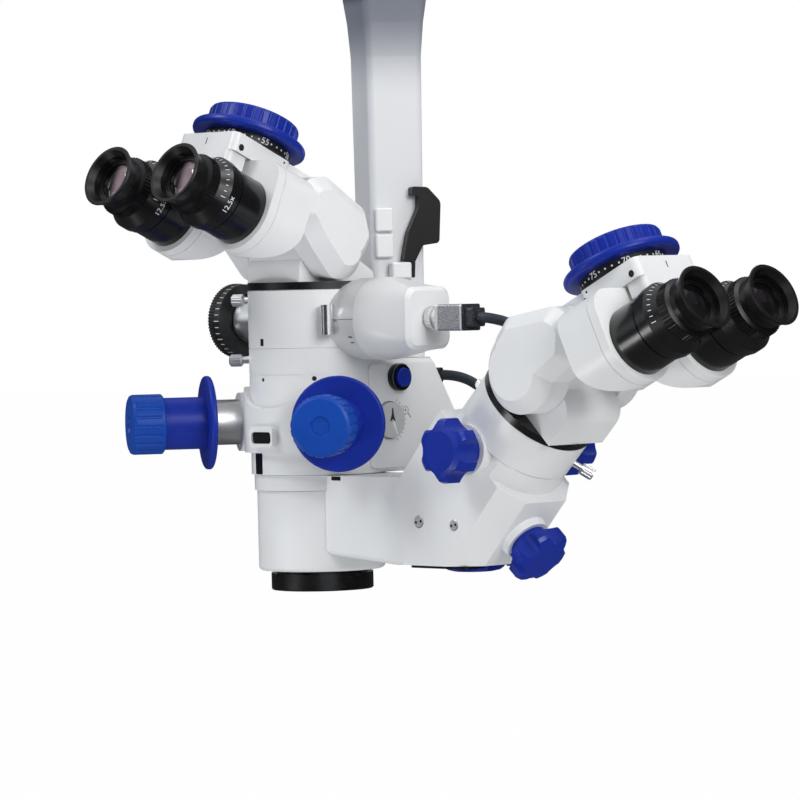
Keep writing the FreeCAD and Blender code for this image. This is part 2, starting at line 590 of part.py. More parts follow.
def build_assistant():
    gap = size("running_gap")
    barrel_top, floor = size("barrel_top"), size("body_floor")
    half = size("foot_half_width")
    hub_x, hub_z, hub = size("hub_x"), size("hub_z"), size("hub_radius")
    band_low, band_high = barrel_top + gap, floor - gap
    band = rod(size("swivel_radius"), (0, 0, band_low), (0, 0, 1), band_high - band_low)
    tongue = slab([(20, -half, 0), (hub_x, -half, 0), (hub_x, half, 0), (20, half, 0)],
                  band_low, band_high - 0.4)
    side = slab([(20, barrel_top + 5, 0), (20, size("foot_floor") + 6.5, 0),
                 (96, size("foot_floor"), 0), (hub_x, size("foot_floor") + 1, 0),
                 (hub_x, barrel_top + 5, 0)], -half, half)
    side.Placement = place((0, 0, 0), FreeCAD.Rotation(V(1, 0, 0), V(0, 0, 1), V(0, -1, 0), "XYZ"))
    side = side.makeFillet(4, [edge for edge in side.Edges if edge.BoundBox.YLength < 0.01
                               and edge.BoundBox.ZMax < size("foot_floor") + 7
                               and edge.BoundBox.XLength > 20])
    foot = side.cut(rod(size("barrel_radius") + gap, (0, 0, 0), (0, 0, 1), band_low))
    foot = band.fuse([tongue, foot])
    foot = foot.cut(rod(size("neck_radius") + size("shaft_clearance"), (0, 0, 0), (0, 0, 1), floor))
    foot = foot.cut(rod(hub + size("seat_gap"), (hub_x, -60, hub_z), (0, 1, 0), 120))
    foot = foot.cut(block((hub_x - 25.3, -60, 0), (hub_x + 60, 60, 100)))
    shaped("assistant_foot", foot)

    cheek = size("cheek_half_width")
    tube = size("tube_radius")
    seam = size("tube_reach") - size("tube_seam")
    slope = math.sqrt(0.5)
    seam_x, seam_z = hub_x + seam * slope, hub_z + seam * slope
    right_x = seam_x + tube * slope
    low_z = size("foot_floor") + 1
    facet_x = 172.0
    profile = [(seam_x - tube * slope, seam_z + tube * slope, 0), (right_x, seam_z - tube * slope, 0),
               (right_x, 68, 0), (facet_x, low_z, 0), (112, low_z, 0), (110.5, 78.5, 0)]
    case = slab(profile, -cheek, cheek)
    case.Placement = place((0, 0, 0), FreeCAD.Rotation(V(1, 0, 0), V(0, 0, 1), V(0, -1, 0), "XYZ"))
    flanks = [edge for edge in case.Edges if edge.BoundBox.YLength < 0.01 and edge.BoundBox.XMin > 160
              and edge.BoundBox.ZMax < seam_z - tube * slope + 1]
    case = case.makeChamfer(15, flanks)
    barrel = Part.makeCylinder(tube, 140)
    barrel.Placement = tube_frame(-40)
    lower = Part.makeCylinder(90, 100)
    lower.Placement = tube_frame(seam - 14 - 100)
    case = case.common(barrel.fuse(lower))
    case = case.fuse(rod(hub, (hub_x, -cheek, hub_z), (0, 1, 0), 2 * cheek))
    knob_z, knob_radius = size("lock_floor"), size("star_radius") + 1.4
    case = case.cut(rod(knob_radius, (size("lock_x"), 0, low_z), (0, 0, 1), size("star_height") - 3.6))
    stud = size("star_stud_radius") + size("shaft_clearance")
    case = case.cut(rod(stud, (size("lock_x"), 0, low_z), (0, 0, 1), size("star_height") + 7))
    focus = tube_frame(size("focus_along")).Base
    boss = size("focus_face") - size("focus_star_height") - gap
    pad = rod(size("focus_boss_radius"), (focus.x, -boss, focus.z), (0, 1, 0), 2 * boss)
    above = Part.makeCylinder(tube + size("seat_gap"), size("tube_seam"))
    above.Placement = tube_frame(seam)
    case = case.fuse(pad.cut(above))
    case = case.cut(rod(stud, (focus.x, -90, focus.z), (0, 1, 0), 180))
    facet_way = V(right_x - facet_x, 0, 68 - low_z)
    facet_way.normalize()
    facet_out = V(facet_way.z, 0, -facet_way.x)
    facet_at = V(facet_x, 0, low_z) + facet_way * 26
    boss_top = size("tilt_boss_height")
    boss = Part.makeCone(size("tilt_boss_radius") + 2, size("tilt_boss_radius"), boss_top + 4,
                         facet_at - facet_out * 4, facet_out)
    case = case.fuse(boss)
    case = case.cut(rod(stud, facet_at - facet_out * 18, facet_out, 40))
    shaped("assistant_housing", case)

    cover = slab([(hub_x - 24, -29, 6), (facet_x - 8, -29, 6), (facet_x - 8, 29, 6), (hub_x - 24, 29, 6)],
                 low_z - size("cover_thickness"), low_z)
    shaped("assistant_bottom_cover",
           cover.cut(rod(knob_radius, (size("lock_x"), 0, 0), (0, 0, 1), 40)))

    barrel = Part.makeCylinder(tube, size("tube_seam") - 0.2, V(0, 0, seam + 0.1))
    barrel = barrel.makeChamfer(0.5, [edge for edge in barrel.Edges if edge.BoundBox.ZLength < 0.1])
    shaped("assistant_tube", barrel, tube_frame())

    heads = []
    for turn, height in ((170, seam - 6), (40, seam + 4)):
        angle = math.radians(turn)
        way = V(math.cos(angle), math.sin(angle), 0)
        start = way * (tube + 0.1)
        heads.append(rod(2.2, (start.x, start.y, height), way, 6).fuse(
            rod(size("screw_head_radius") - 1.2, (start.x + way.x * 6, start.y + way.y * 6, height), way,
                size("screw_length") - 6)))
    shaped("assistant_clamp_screws", Part.makeCompound(heads), tube_frame())

    # the focus knobs share one shaft through the housing
    half_star = [("star_stud_radius", "focus_face - focus_star_height"),
                 ("star_radius - 8", "focus_face - focus_star_height"),
                 ("star_radius - 7.5", "focus_face - focus_star_height * 0.84"),
                 ("star_radius", "focus_face - focus_star_height * 0.62")] + [
        (f"star_radius - {inset}", f"focus_face - {drop}")
        for inset, drop in ((0, 5.2), (1.2, 2.6), (3.6, 0.9), (8, 0))]
    other_half = [(r, f"-({z})") for r, z in reversed(half_star)]
    turned("assistant_focus_knobs", [("0", "-focus_face")] + other_half + half_star + [("0", "focus_face")],
           place((focus.x, 0, focus.z), facing((0, 1, 0))),
           cuts=[scallops(STAR_LOBES, "star_radius * 0.4", "star_radius * 1.12",
                          "focus_face - focus_star_height * 0.9", "focus_face + 3"),
                 scallops(STAR_LOBES, "star_radius * 0.4", "star_radius * 1.12",
                          "-focus_face - 3", "-focus_face + focus_star_height * 0.9")])
    star_knob("assistant_tilt_knob",
              place(tuple(facet_at + facet_out * (boss_top + gap)),
                    facing((facet_out.x, 0, facet_out.z))), "12")
    star_knob("assistant_lock_knob",
              place((size("lock_x"), 0, knob_z + size("star_height")), FreeCAD.Rotation(X_AXIS, 180)), "6")


# The inclinable binocular tube, used by the surgeon and, at another tilt, by the assistant.
# Its own frame has the optical axis along +Z, the user towards -Y and the eyes along X.
def build_binocular(who, frame, ring, hinge_forward, hinge_height, arm_back, tilt):
    def seat(*spot):
        return frame.multiply(place(spot))

    turned(f"{who}_mount_ring",
           [("neck_radius - 8", "-ring_black_height"), (ring, "-ring_black_height"), (ring, "0"),
            ("neck_radius - 8", "0")], frame)

    half = size("hinge_width")
    drum = size("drum_radius")
    front = 39.5
    base = side_slab([(-30, 0, 0), (front, 0, 0), (front, hinge_height + 2, 14),
                      (hinge_forward - drum + 3, hinge_height + 2, 10), (-30, 6, 4)], half)
    base = base.fuse(rod(drum, (-half, -hinge_forward, hinge_height), (1, 0, 0), 2 * half))
    base = base.cut(block((-60, -60, -20), (60, 60, 0)))
    pin = 6.0
    clear = size("shaft_clearance")
    base = base.cut(rod(pin + clear, (-half, -hinge_forward, hinge_height), (1, 0, 0), 2 * half))
    shaped(f"{who}_tube_base", base, frame)

    # The swing arms: two chunky cheeks with a broad bevel, tied by the pins of both hinges.
    lean = FreeCAD.Rotation(X_AXIS, -arm_back)
    arm_frame = frame.multiply(place((0, -hinge_forward, hinge_height), lean))
    link = V(0, -size("link_forward"), size("link_height"))
    inner, outer = size("arm_inner"), size("arm_outer")
    bevel = 9.0
    full = [(4, -25, 14), (27, 2, 12), (41, 23, 12), (33, 48.5, 15), (12, 49.5, 12), (-23, 27, 10),
            (-28, 8, 10), (-20, -4, 12)]
    cheek = slab(full, inner, outer)
    rim = [edge for edge in cheek.Edges if abs(edge.BoundBox.ZMin - outer) < 0.01
           and edge.BoundBox.ZLength < 0.01]
    cheek = cheek.makeChamfer(bevel, rim)
    hub = hinge_height - 1.2
    cheek = cheek.fuse([rod(hub, (0, 0, inner), (0, 0, 1), outer - bevel - inner),
                        Part.makeCone(hub, hub - bevel, bevel, V(0, 0, outer - bevel))])
    cheek.Placement = place((0, 0, 0), FreeCAD.Rotation(V(0, -1, 0), V(0, 0, 1), V(-1, 0, 0), "XYZ"))
    other = cheek.mirror(V(0, 0, 0), X_AXIS)
    pins = [rod(pin, (-inner - 1, 0, 0), (1, 0, 0), 2 * inner + 2),
            rod(pin, (-inner - 1, link.y, link.z), (1, 0, 0), 2 * inner + 2)]
    shaped(f"{who}_swing_arms", cheek.fuse([other] + pins), arm_frame)

    # The head: its own frame has the eyes' axis outward along -Y and the lid up along +Z.
    knuckle = arm_frame.multiply(place((link.x, link.y, link.z)))
    level = FreeCAD.Rotation(X_AXIS, tilt - 90)
    head_frame = place(knuckle.Base, frame.Rotation.multiply(level))
    eye_drop = size("eyepiece_drop")
    top, thick = size("plate_top"), size("plate_thickness")
    wide = size("plate_width") / 2
    back_face = size("collar_back") - 0.3
    knuckle_radius = 12.0
    head = rod(knuckle_radius, (-half + 0.2, 0, 0), (1, 0, 0), 2 * half - 0.4)
    head = head.fuse(side_slab([(-knuckle_radius, 0, 0), (back_face, -10, 3), (back_face, top, 0),
                                (-4, top, 6), (-knuckle_radius, 8, 4)], half - 0.2))
    plate = slab(rounded_square(wide, 5, (size("plate_front") - back_face) / 2), top - thick, top)
    plate.translate(V(0, -(size("plate_front") + back_face) / 2, 0))
    nose = block((-wide + 2, -size("plate_front"), top - thick - 10),
                 (wide - 2, -size("collar_face") - 3, top - 2))
    nose = nose.makeFillet(4, [edge for edge in nose.Edges if edge.BoundBox.ZLength > 5
                               and edge.BoundBox.YMin < -size("plate_front") + 1])
    head = head.fuse([plate, nose])
    head = head.cut(rod(size("nose_socket"), (-wide, -size("plate_front") + 7, top - 9), (1, 0, 0), 5))
    head = head.cut(rod(size("nose_socket"), (wide - 5, -size("plate_front") + 7, top - 9), (1, 0, 0), 5))
    head = head.cut(rod(pin + clear, (-half, 0, 0), (1, 0, 0), 2 * half))
    head = head.cut(rod(size("knob_stub") + clear, (0, -size("knob_forward"), top - 8), (0, 0, 1), 12))
    shaped(f"{who}_head", head, head_frame)

    rim, roof = "knob_low + knob_flange", "knob_low + knob_flange + knob_crown"
    turned(f"{who}_distance_knob",
           [("0", "plate_top - 7.5"), ("knob_stub", "plate_top - 7.5"),
            ("knob_stub", "plate_top + running_gap"), ("scale_radius", "plate_top + running_gap"),
            ("scale_radius", "knob_low"), ("knob_radius", "knob_low"), ("knob_radius", rim),
            ("knob_crown_radius + 1.2", rim), ("knob_crown_radius", rim + " + 1.2"),
            ("knob_crown_radius", roof + " - 2.4"), ("knob_crown_radius - 0.8", roof + " - 0.8"),
            ("knob_crown_radius - 2.8", roof), ("0", roof)],
           head_frame.multiply(place((0, -size("knob_forward"), 0))),
           rounds={"knob_flange * 0.42": [5, 6]},
           cuts=[scallops(KNOB_RIBS, "1.7", "knob_crown_radius + 0.9", rim + " + 1.2", roof + " + 1")])

    for side, name in ((-1, "left"), (1, "right")):
        middle = side * size("pupil_distance") / 2
        eye = head_frame.multiply(place((middle, 0, -eye_drop), FreeCAD.Rotation(X_AXIS, 90)))
        radius, roof = size("collar_radius"), eye_drop + top - thick - size("rail_gap")
        near, far = size("collar_back"), size("collar_face")
        corners = [(-radius, -radius, radius - 0.1), (radius, -radius, radius - 0.1),
                   (radius, roof, 16 if side > 0 else 3), (-radius, roof, 3 if side > 0 else 16)]
        bucket = slab(corners, near, far)
        belly = slab([(near, roof + 1, 0), (near, -radius, size("collar_round")),
                      (far + 1, -radius, 0), (far + 1, roof + 1, 0)], -radius - 1, radius + 1)
        belly.Placement = place((0, 0, 0), FreeCAD.Rotation(V(0, 0, 1), V(0, 1, 0), V(-1, 0, 0), "XYZ"))
        bucket = bucket.common(belly)
        seam = far - size("collar_lip")
        outer = [(-radius - 2, -radius - 2, radius), (radius + 2, -radius - 2, radius),
                 (radius + 2, roof + 2, 16), (-radius - 2, roof + 2, 16)]
        groove = size("seam_depth")
        inner = [(u - groove * (1 if u > 0 else -1), v - groove * (1 if v > 0 else -1), r - groove)
                 for u, v, r in corners]
        bucket = bucket.cut(slab(outer, seam - 0.25, seam + 0.25).cut(slab(inner, seam - 1, seam + 1)))
        socket = size("eyepiece_radius") + size("seat_gap")
        bucket = bucket.cut(rod(socket, (0, 0, far - 6), (0, 0, 1), 8))
        shaped(f"{who}_collar_{name}", bucket, eye)

        rim = "rim_reach"
        turned(f"{who}_eyepiece_{name}",
               [("0", "collar_face - 5.8"), ("eyepiece_radius", "collar_face - 5.8"),
                ("eyepiece_radius", "collar_face + 22"), ("eyepiece_radius - 1", "collar_face + 22.3"),
                ("eyepiece_radius - 1", "collar_face + 23.2"),
                ("eyepiece_radius + 0.8", "collar_face + 23.5"),
                ("eyepiece_radius + 0.8", "collar_face + 27"),
                ("eyepiece_radius + 1.7", "collar_face + 27.4"),
                ("eyepiece_radius + 1.7", "collar_face + 33"),
                ("diopter_radius - 0.6", "collar_face + 40"), ("14", "collar_face + 40"),
                ("14", rim + " - 8.5"), ("12.7", rim + " - 8.5"), ("12.7", "collar_face + 42"),
                ("0", "collar_face + 42")], eye)
        turned(f"{who}_eyecup_{name}",
               [("14 + shaft_clearance", "collar_face + 40.3"), ("diopter_radius", "collar_face + 40.3"),
                ("diopter_radius", "collar_face + 48"), ("diopter_radius - 2.4", "collar_face + 49.5"),
                ("diopter_radius - 2.4", rim + " - 10"), ("cup_radius - 0.8", rim + " - 1.6"),
                ("cup_radius", rim + " - 0.8"), ("cup_radius - 0.6", rim),
                ("cup_radius - 2.6", rim), ("cup_bore + 0.6", rim + " - 4"),
                ("cup_bore", rim + " - 8"), ("14 + shaft_clearance", rim + " - 8")], eye,
               rounds={"seat_gap * 10": [4]})
        turned(f"{who}_eye_lens_{name}",
               [("0", "collar_face + 44"), ("12.6", "collar_face + 44"), ("12.6", rim + " - 10"),
                ("8", rim + " - 9"), ("0", rim + " - 8.6")], eye)


build_arm()
build_body()
build_camera()
build_handles()
build_assistant()
build_binocular("surgeon", place((0, 0, size("splitter_top") + size("ring_black_height"))),
                "body_radius", size("surgeon_hinge_forward"), size("surgeon_hinge_height"), 0.0,
                size("eyepiece_tilt"))
scope = tube_frame(size("tube_reach") + size("ring_black_height"))
scope = place(scope.Base, scope.Rotation.multiply(FreeCAD.Rotation(Z_AXIS, 90)))
build_binocular("assistant", scope, "tube_radius + 0.4", size("assistant_hinge_forward"),
                size("assistant_hinge_height"), size("assistant_arm_back"),
                size("assistant_eyepiece_tilt"))

doc.recompute()
for thing in doc.Objects:
    if "Invalid" in thing.State or "Error" in thing.State:
        raise ValueError(f"{thing.Name} did not build: {thing.State}")
os.makedirs("parts", exist_ok=True)
for piece in made:
    shape = piece.Shape
    if shape.isNull() or not shape.isValid() or not shape.Solids:
        raise ValueError(f"{piece.Label} has no sound shape")
    shape.exportStep(f"parts/{piece.Label}.step")
print(len(made), "pieces")
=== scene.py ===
import math

import bmesh
import bpy
from bpy.props import FloatProperty, FloatVectorProperty, IntProperty, PointerProperty
from mathutils import Matrix, Vector


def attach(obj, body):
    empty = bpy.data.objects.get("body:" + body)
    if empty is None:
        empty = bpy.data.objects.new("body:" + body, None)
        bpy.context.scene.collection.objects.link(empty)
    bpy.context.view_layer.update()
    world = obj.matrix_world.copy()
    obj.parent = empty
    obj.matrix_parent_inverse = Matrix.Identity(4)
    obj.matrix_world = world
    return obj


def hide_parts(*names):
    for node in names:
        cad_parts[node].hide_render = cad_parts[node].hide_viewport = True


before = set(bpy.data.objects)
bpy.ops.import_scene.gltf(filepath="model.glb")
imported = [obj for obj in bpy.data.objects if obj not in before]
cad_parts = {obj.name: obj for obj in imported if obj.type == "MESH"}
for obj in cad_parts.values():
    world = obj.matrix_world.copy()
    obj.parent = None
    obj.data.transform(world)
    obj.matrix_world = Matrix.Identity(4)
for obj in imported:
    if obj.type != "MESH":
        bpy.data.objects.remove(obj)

bl_info = {
    "name": "Surgical microscope",
    "version": (1, 0, 0),
    "blender": (4, 5, 0),
    "location": "3D View > Sidebar > Microscope",
    "description": "Finishes, markings and small fittings of a ceiling-hung surgical microscope head",
    "category": "Add Mesh",
}

# Pieces are drawn in millimetres from the underside of the objective ring, on the optical axis,
# and carried from there to the microscope's own origin on the arm's top flange.
TO_MODEL = Matrix.Translation((0, -0.072, -0.414)) @ Matrix.Scale(0.001, 4)
HOME = Matrix.Identity(4)


def turn(axis, degrees):
    return Matrix.Rotation(math.radians(degrees), 4, axis)


def shift(x, y, z):
    return Matrix.Translation((x, y, z))


# The two binocular tubes: lid up along +Z, eyes outward along -Y.
SCOPE = shift(209.246, 0, 128.246) @ turn("Y", 45) @ turn("Z", 90)
SCOPE_ARMS = SCOPE @ shift(0, 0, 29.5) @ turn("X", -21.75)
SCOPE_LINK = (SCOPE_ARMS @ Vector((0, -21, 27.8)))
HEADS = {
    "surgeon": shift(0, -38, 257) @ turn("X", -24),
    "assistant": (Matrix.Translation(SCOPE_LINK) @ SCOPE.to_3x3().to_4x4() @ turn("X", -70.5)),
}
# Where an eyepiece starts along its axis, and the distance between the two.
BARREL_FACE, PUPILS = 55.4, 65.5
# The height of the two side ports, and the places of the dial and the button on the side panel.
PORT, DIAL, BUTTON = 183, (20, 114), (28.7, 142.8)
# The camera's far face along X, and the radii of its collar and of the body's drum.
CAMERA_END, CAMERA_COLLAR, DRUM = 108.6, 27.5, 46.5
# The two sides and their signs along X.
SIDES = (("left", -1), ("right", 1))
# The figure that stands at each index line.
READING = {"surgeon": 62.5, "assistant": 65.5}
# The black ring that carries the eye distances: its wall, the middle of its figures, and the
# millimetres of eye distance to a radian of the knob.
SCALE_WALL, SCALE_HEIGHT, SCALE_GEAR = 29.55, 28.2, 6.0312
# The +X grip's starting point in metres and its axis, and the millimetres from there to its cap.
GRIP_SPOT, GRIP_AXIS, CAP_START = (0.0628, -0.1141, -0.3), (0.5446, -0.8387, 0), 33.5
# The flat +X side of the body, with u towards the back and v up.
PANEL = Matrix(((0, 0, 1, 47.7), (1, 0, 0, 0), (0, 1, 0, 0), (0, 0, 0, 1)))


def eye_frame(who, side):
    return HEADS[who] @ shift(side * PUPILS / 2, 0, -26) @ turn("X", 90)


def knob_frame(who):
    return HEADS[who] @ shift(0, -38.5, 0)


# Shader arithmetic.
class Tone:
    """A number or colour read over a surface, combined by ordinary arithmetic."""

    def __init__(self, finish, socket):
        self.finish, self.socket = finish, socket

    def _math(self, operation, first, second):
        return self.finish.node("ShaderNodeMath", {0: first, 1: second}, operation=operation)

    def __add__(self, other):
        return self._math("ADD", self, other)

    def __radd__(self, other):
        return self._math("ADD", other, self)

    def __sub__(self, other):
        return self._math("SUBTRACT", self, other)

    def __rsub__(self, other):
        return self._math("SUBTRACT", other, self)

    def __mul__(self, other):
        return self._math("MULTIPLY", self, other)

    def __rmul__(self, other):
        return self._math("MULTIPLY", other, self)

    def above(self, edge, soft=0.05):
        """0 below the edge and 1 above it."""
        return self.finish.node("ShaderNodeMapRange", {"Value": self, "From Min": edge - soft,
                                                       "From Max": edge + soft},
                                interpolation_type="SMOOTHSTEP")

    def below(self, edge, soft=0.05):
        return 1 - self.above(edge, soft)

    def within(self, low, high, soft=0.05):
        return self.above(low, soft) * self.below(high, soft)


class Finish:
    """A material being mixed: one shader for the surface and the maths that feeds it."""

    def __init__(self, name):
        self.material = bpy.data.materials.new(name)
        self.material.use_nodes = True
        self.tree = self.material.node_tree
        self.tree.nodes.clear()
        out = self.tree.nodes.new("ShaderNodeOutputMaterial")
        self.skin = self.tree.nodes.new("ShaderNodeBsdfPrincipled")
        self.tree.links.new(self.skin.outputs[0], out.inputs[0])
        self.place = self.node("ShaderNodeTexCoord", output="Object")

    def plug(self, socket, value):
        if isinstance(value, Tone):
            self.tree.links.new(value.socket, socket)
        elif socket.type == "RGBA":
            socket.default_value = (*value[:3], 1)
        else:
            socket.default_value = value

    def node(self, kind, inputs=None, output=0, **settings):
        made = self.tree.nodes.new(kind)
        for key, value in settings.items():
            setattr(made, key, value)
        for key, value in (inputs or {}).items():
            self.plug(made.inputs[key], value)
        return Tone(self, made.outputs[output])

    def blend(self, first, second, share):
        return self.node("ShaderNodeMix", {0: share, 6: first, 7: second}, output=2, data_type="RGBA")

    def noise(self, scale, detail):
        return self.node("ShaderNodeTexNoise", {"Vector": self.place, "Scale": scale, "Detail": detail})

    def rings(self, axis, origin, pitch, detail):
        """Turning marks round an axis."""
        return self.node("ShaderNodeTexNoise", {"W": self.along(axis, origin) * pitch, "Detail": detail,
                                                "Scale": 1.0}, noise_dimensions="1D")

    def along(self, axis, origin):
        """Millimetres from an origin along an axis, both in metres in the model's frame."""
        axis = Vector(axis).normalized()
        dot = self.node("ShaderNodeVectorMath", {0: self.place, 1: tuple(axis * 1000)},
                        output="Value", operation="DOT_PRODUCT")
        return dot - 1000 * axis.dot(Vector(origin))

    def reach(self, axis, origin):
        """Millimetres from the line through an origin along an axis."""
        offset = self.node("ShaderNodeVectorMath", {0: self.place, 1: tuple(origin)},
                           operation="SUBTRACT")
        way = tuple(Vector(axis).normalized() * 1000)
        across = self.node("ShaderNodeVectorMath", {0: offset, 1: way}, operation="CROSS_PRODUCT")
        return self.node("ShaderNodeVectorMath", {0: across}, output="Value", operation="LENGTH")

    def bump(self, height, strength, distance=0.0002):
        relief = self.node("ShaderNodeBump", {"Height": height, "Strength": strength,
                                              "Distance": distance})
        self.plug(self.skin.inputs["Normal"], relief)

    def coat(self, **values):
        for key, value in values.items():
            self.plug(self.skin.inputs[key.replace("_", " ").title().replace("Ior", "IOR")], value)
        return self.material


# The grain and the specular level of every moulded plastic.
PLASTIC_GRAIN, PLASTIC_SHINE = 2200, 0.18


def lacquer(name, colour, rough=0.34):
    """Sprayed housing paint: fine orange peel and faint cloudiness."""
    mix = Finish(name)
    cloud = mix.noise(14, 3)
    fleck = mix.noise(1500, 2)
    tone = mix.blend(colour, [c * 0.95 for c in colour], cloud.above(0.52, 0.2))
    tone = mix.blend(tone, [c * 0.93 for c in colour], fleck.above(0.72, 0.06) * 0.5)
    peel = mix.noise(420, 1)
    mix.bump(peel + fleck * 0.25, 0.035)
    return mix.coat(base_color=tone, roughness=rough + 0.05 * mix.noise(60, 2) + 0.04 * fleck,
                    coat_weight=0.12, coat_roughness=0.18)


def moulded(name, colour, rough, sparkle=0.5, coat=0.05, cap=None):
    """Coloured moulded plastic with a spark-eroded grain; a grip's cap has a tone of its own."""
    mix = Finish(name)
    grit = mix.noise(PLASTIC_GRAIN, 2)
    cloud = mix.noise(22, 3)
    bright = grit.above(0.6, 0.12) * sparkle
    dull = cloud.above(0.55, 0.18) * 0.6
    tone = mix.blend(colour, [min(1, c * 1.35 + 0.004) for c in colour], bright)
    tone = mix.blend(tone, [c * 0.86 for c in colour], dull)
    if cap:
        other, axis, origin, start = cap
        tip = mix.blend(other, [c * 1.5 + 0.01 for c in other], bright)
        tip = mix.blend(tip, [c * 0.8 for c in other], dull)
        tone = mix.blend(tone, tip, mix.along(axis, origin).above(start, 0.1))
    mix.bump(grit, 0.16, 0.00012)
    mix.skin.inputs["Specular IOR Level"].default_value = PLASTIC_SHINE
    return mix.coat(base_color=tone, roughness=rough + 0.1 * grit - 0.06 * cloud, coat_weight=coat,
                    coat_roughness=0.15)


def two_colour_knob(name, who, colour):
    """The eye-distance knob: coloured crown and flange over a black scale ring."""
    mix = Finish(name)
    place = TO_MODEL @ knob_frame(who)
    axis, foot = place.col[2].to_3d(), place.translation
    ring = mix.along(axis, foot).below(31.4, 0.05)
    grit = mix.noise(PLASTIC_GRAIN, 2)
    tone = mix.blend(colour, [c * 1.4 + 0.004 for c in colour], grit.above(0.6, 0.12) * 0.35)
    tone = mix.blend(tone, (0.012, 0.012, 0.014), ring)
    mix.bump(grit, 0.14, 0.00012)
    mix.skin.inputs["Specular IOR Level"].default_value = PLASTIC_SHINE
    return mix.coat(base_color=tone, roughness=0.3 + 0.08 * grit + 0.08 * ring, coat_weight=0.06,
                    coat_roughness=0.15)


def anodised(name, colour, rough, axis=(0, 0, 1), origin=(0, 0, 0)):
    """Turned and dyed metal: faint rings round the axis and lighter rubbed patches."""
    mix = Finish(name)
    marks = mix.rings(axis, origin, 3.1, 2.0)
    smear = mix.noise(90, 3)
    tone = mix.blend(colour, [c * 1.8 + 0.003 for c in colour], smear.above(0.62, 0.12) * 0.35)
    mix.bump(marks, 0.05, 0.00008)
    return mix.coat(base_color=tone, roughness=rough + 0.08 * smear + 0.03 * marks, coat_weight=0.1,
                    coat_roughness=0.2)


def bare_metal(name, colour, rough, axis=(0, 0, 1)):
    """Brushed or turned bare metal."""
    mix = Finish(name)
    lines = mix.rings(axis, (0, 0, 0), 6.0, 3.0)
    smear = mix.noise(130, 3)
    tone = mix.blend(colour, [c * 0.8 for c in colour], lines.above(0.55, 0.2) * 0.45)
    mix.bump(lines, 0.06, 0.00006)
    return mix.coat(base_color=tone, metallic=1.0, roughness=rough + 0.1 * lines + 0.08 * smear)


def rubber(name, colour, rough):
    """Soft dark moulding, slightly dusty."""
    mix = Finish(name)
    grit = mix.noise(3200, 2)
    dust = mix.noise(160, 4)
    tone = mix.blend(colour, [c * 1.6 + 0.003 for c in colour], dust.above(0.58, 0.14) * 0.45)
    mix.bump(grit, 0.2, 0.0001)
    mix.skin.inputs["Specular IOR Level"].default_value = 0.3
    return mix.coat(base_color=tone, roughness=rough + 0.1 * dust, coat_weight=0.04,
                    coat_roughness=0.3)


def coated_glass(name, colour, tint, painted_reflection=None, where=None, shine=1.9):
    """Dark coated optics; an eye lens also has a pale painted reflection on one side."""
    mix = Finish(name)
    cloud = mix.noise(55, 1)
    tone = mix.blend(colour, tint, cloud.above(0.5, 0.2))
    # Painted reflection: a pale patch over one side of the eye lens, fading towards its rim.
    if painted_reflection:
        aside = mix.along(where.col[0].to_3d(), where.translation)
        share = mix.reach(where.col[2].to_3d(), where.translation).below(11.5, 1.4)
        share = share * aside.above(-1.0, 4.0)
        tone = mix.blend(tone, painted_reflection, share * 0.9)
    mix.skin.inputs["Specular Tint"].default_value = (1.0, 0.86, 0.90, 1)
    return mix.coat(base_color=tone, roughness=0.02 + 0.015 * mix.noise(400, 2), ior=shine,
                    coat_weight=0.3, coat_roughness=0.02)


def ink(name, colour, rough=0.45):
    """Printed or filled marking; also the near-black painted shade laid in recesses."""
    mix = Finish(name)
    worn = mix.noise(900, 3)
    tone = mix.blend(colour, [c * 0.8 for c in colour], worn.above(0.6, 0.1) * 0.5)
    return mix.coat(base_color=tone, roughness=rough + 0.1 * worn)


def column_paint(name, pale, dark):
    """The arm's lacquer, which passes into a darker grey-blue near the ceiling end: painted shade of the
    column's flared top.
    """
    mix = Finish(name)
    height = mix.along((0, 0, 1), (0, 0, 0))
    cloud = mix.noise(9, 3)
    fleck = mix.noise(1500, 2)
    # Painted shade: the lacquer blends into the darker colour towards the ceiling end.
    share = (height + 14 * cloud).above(-46, 30)
    tone = mix.blend(pale, dark, share)
    tone = mix.blend(tone, [c * 0.9 for c in pale], fleck.above(0.72, 0.06) * 0.4)
    mix.bump(mix.noise(380, 1) + fleck * 0.3, 0.04)
    return mix.coat(base_color=tone, roughness=0.36 + 0.06 * cloud + 0.04 * fleck, coat_weight=0.1,
                    coat_roughness=0.2)


# Mesh helpers.
def add_mesh(name, mesh, place, body, material, smooth=False):
    """Puts a mesh drawn in millimetres where it belongs and lets it ride on its body."""
    mesh.transform(TO_MODEL @ place)
    mesh.materials.clear()
    mesh.materials.append(material)
    mesh.name = name
    if smooth:
        mesh.shade_smooth()
    piece = bpy.data.objects.new(name, mesh)
    bpy.context.scene.collection.objects.link(piece)
    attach(piece, body)
    return piece


def from_bmesh(work):
    bmesh.ops.recalc_face_normals(work, faces=work.faces)
    mesh = bpy.data.meshes.new("work")
    work.to_mesh(mesh)
    work.free()
    return mesh


def plate(points, low, high):
    """A flat outline raised from low to high."""
    work = bmesh.new()
    floor = [work.verts.new((u, v, low)) for u, v in points]
    roof = [work.verts.new((u, v, high)) for u, v in points]
    work.faces.new(floor[::-1])
    work.faces.new(roof)
    for at in range(len(points)):
        ahead = (at + 1) % len(points)
        work.faces.new((floor[at], floor[ahead], roof[ahead], roof[at]))
    return from_bmesh(work)


def disc(radius, low, high, count=40, middle=(0, 0)):
    return plate([(middle[0] + radius * math.cos(math.tau * n / count),
                   middle[1] + radius * math.sin(math.tau * n / count)) for n in range(count)], low, high)


def rounded(half_u, half_v, radius, steps=6):
    spots = []
    for cu, cv, start in ((1, 1, 0), (-1, 1, 90), (-1, -1, 180), (1, -1, 270)):
        for step in range(steps + 1):
            angle = math.radians(start + 90 * step / steps)
            spots.append((cu * (half_u - radius) + radius * math.cos(angle),
                          cv * (half_v - radius) + radius * math.sin(angle)))
    return spots


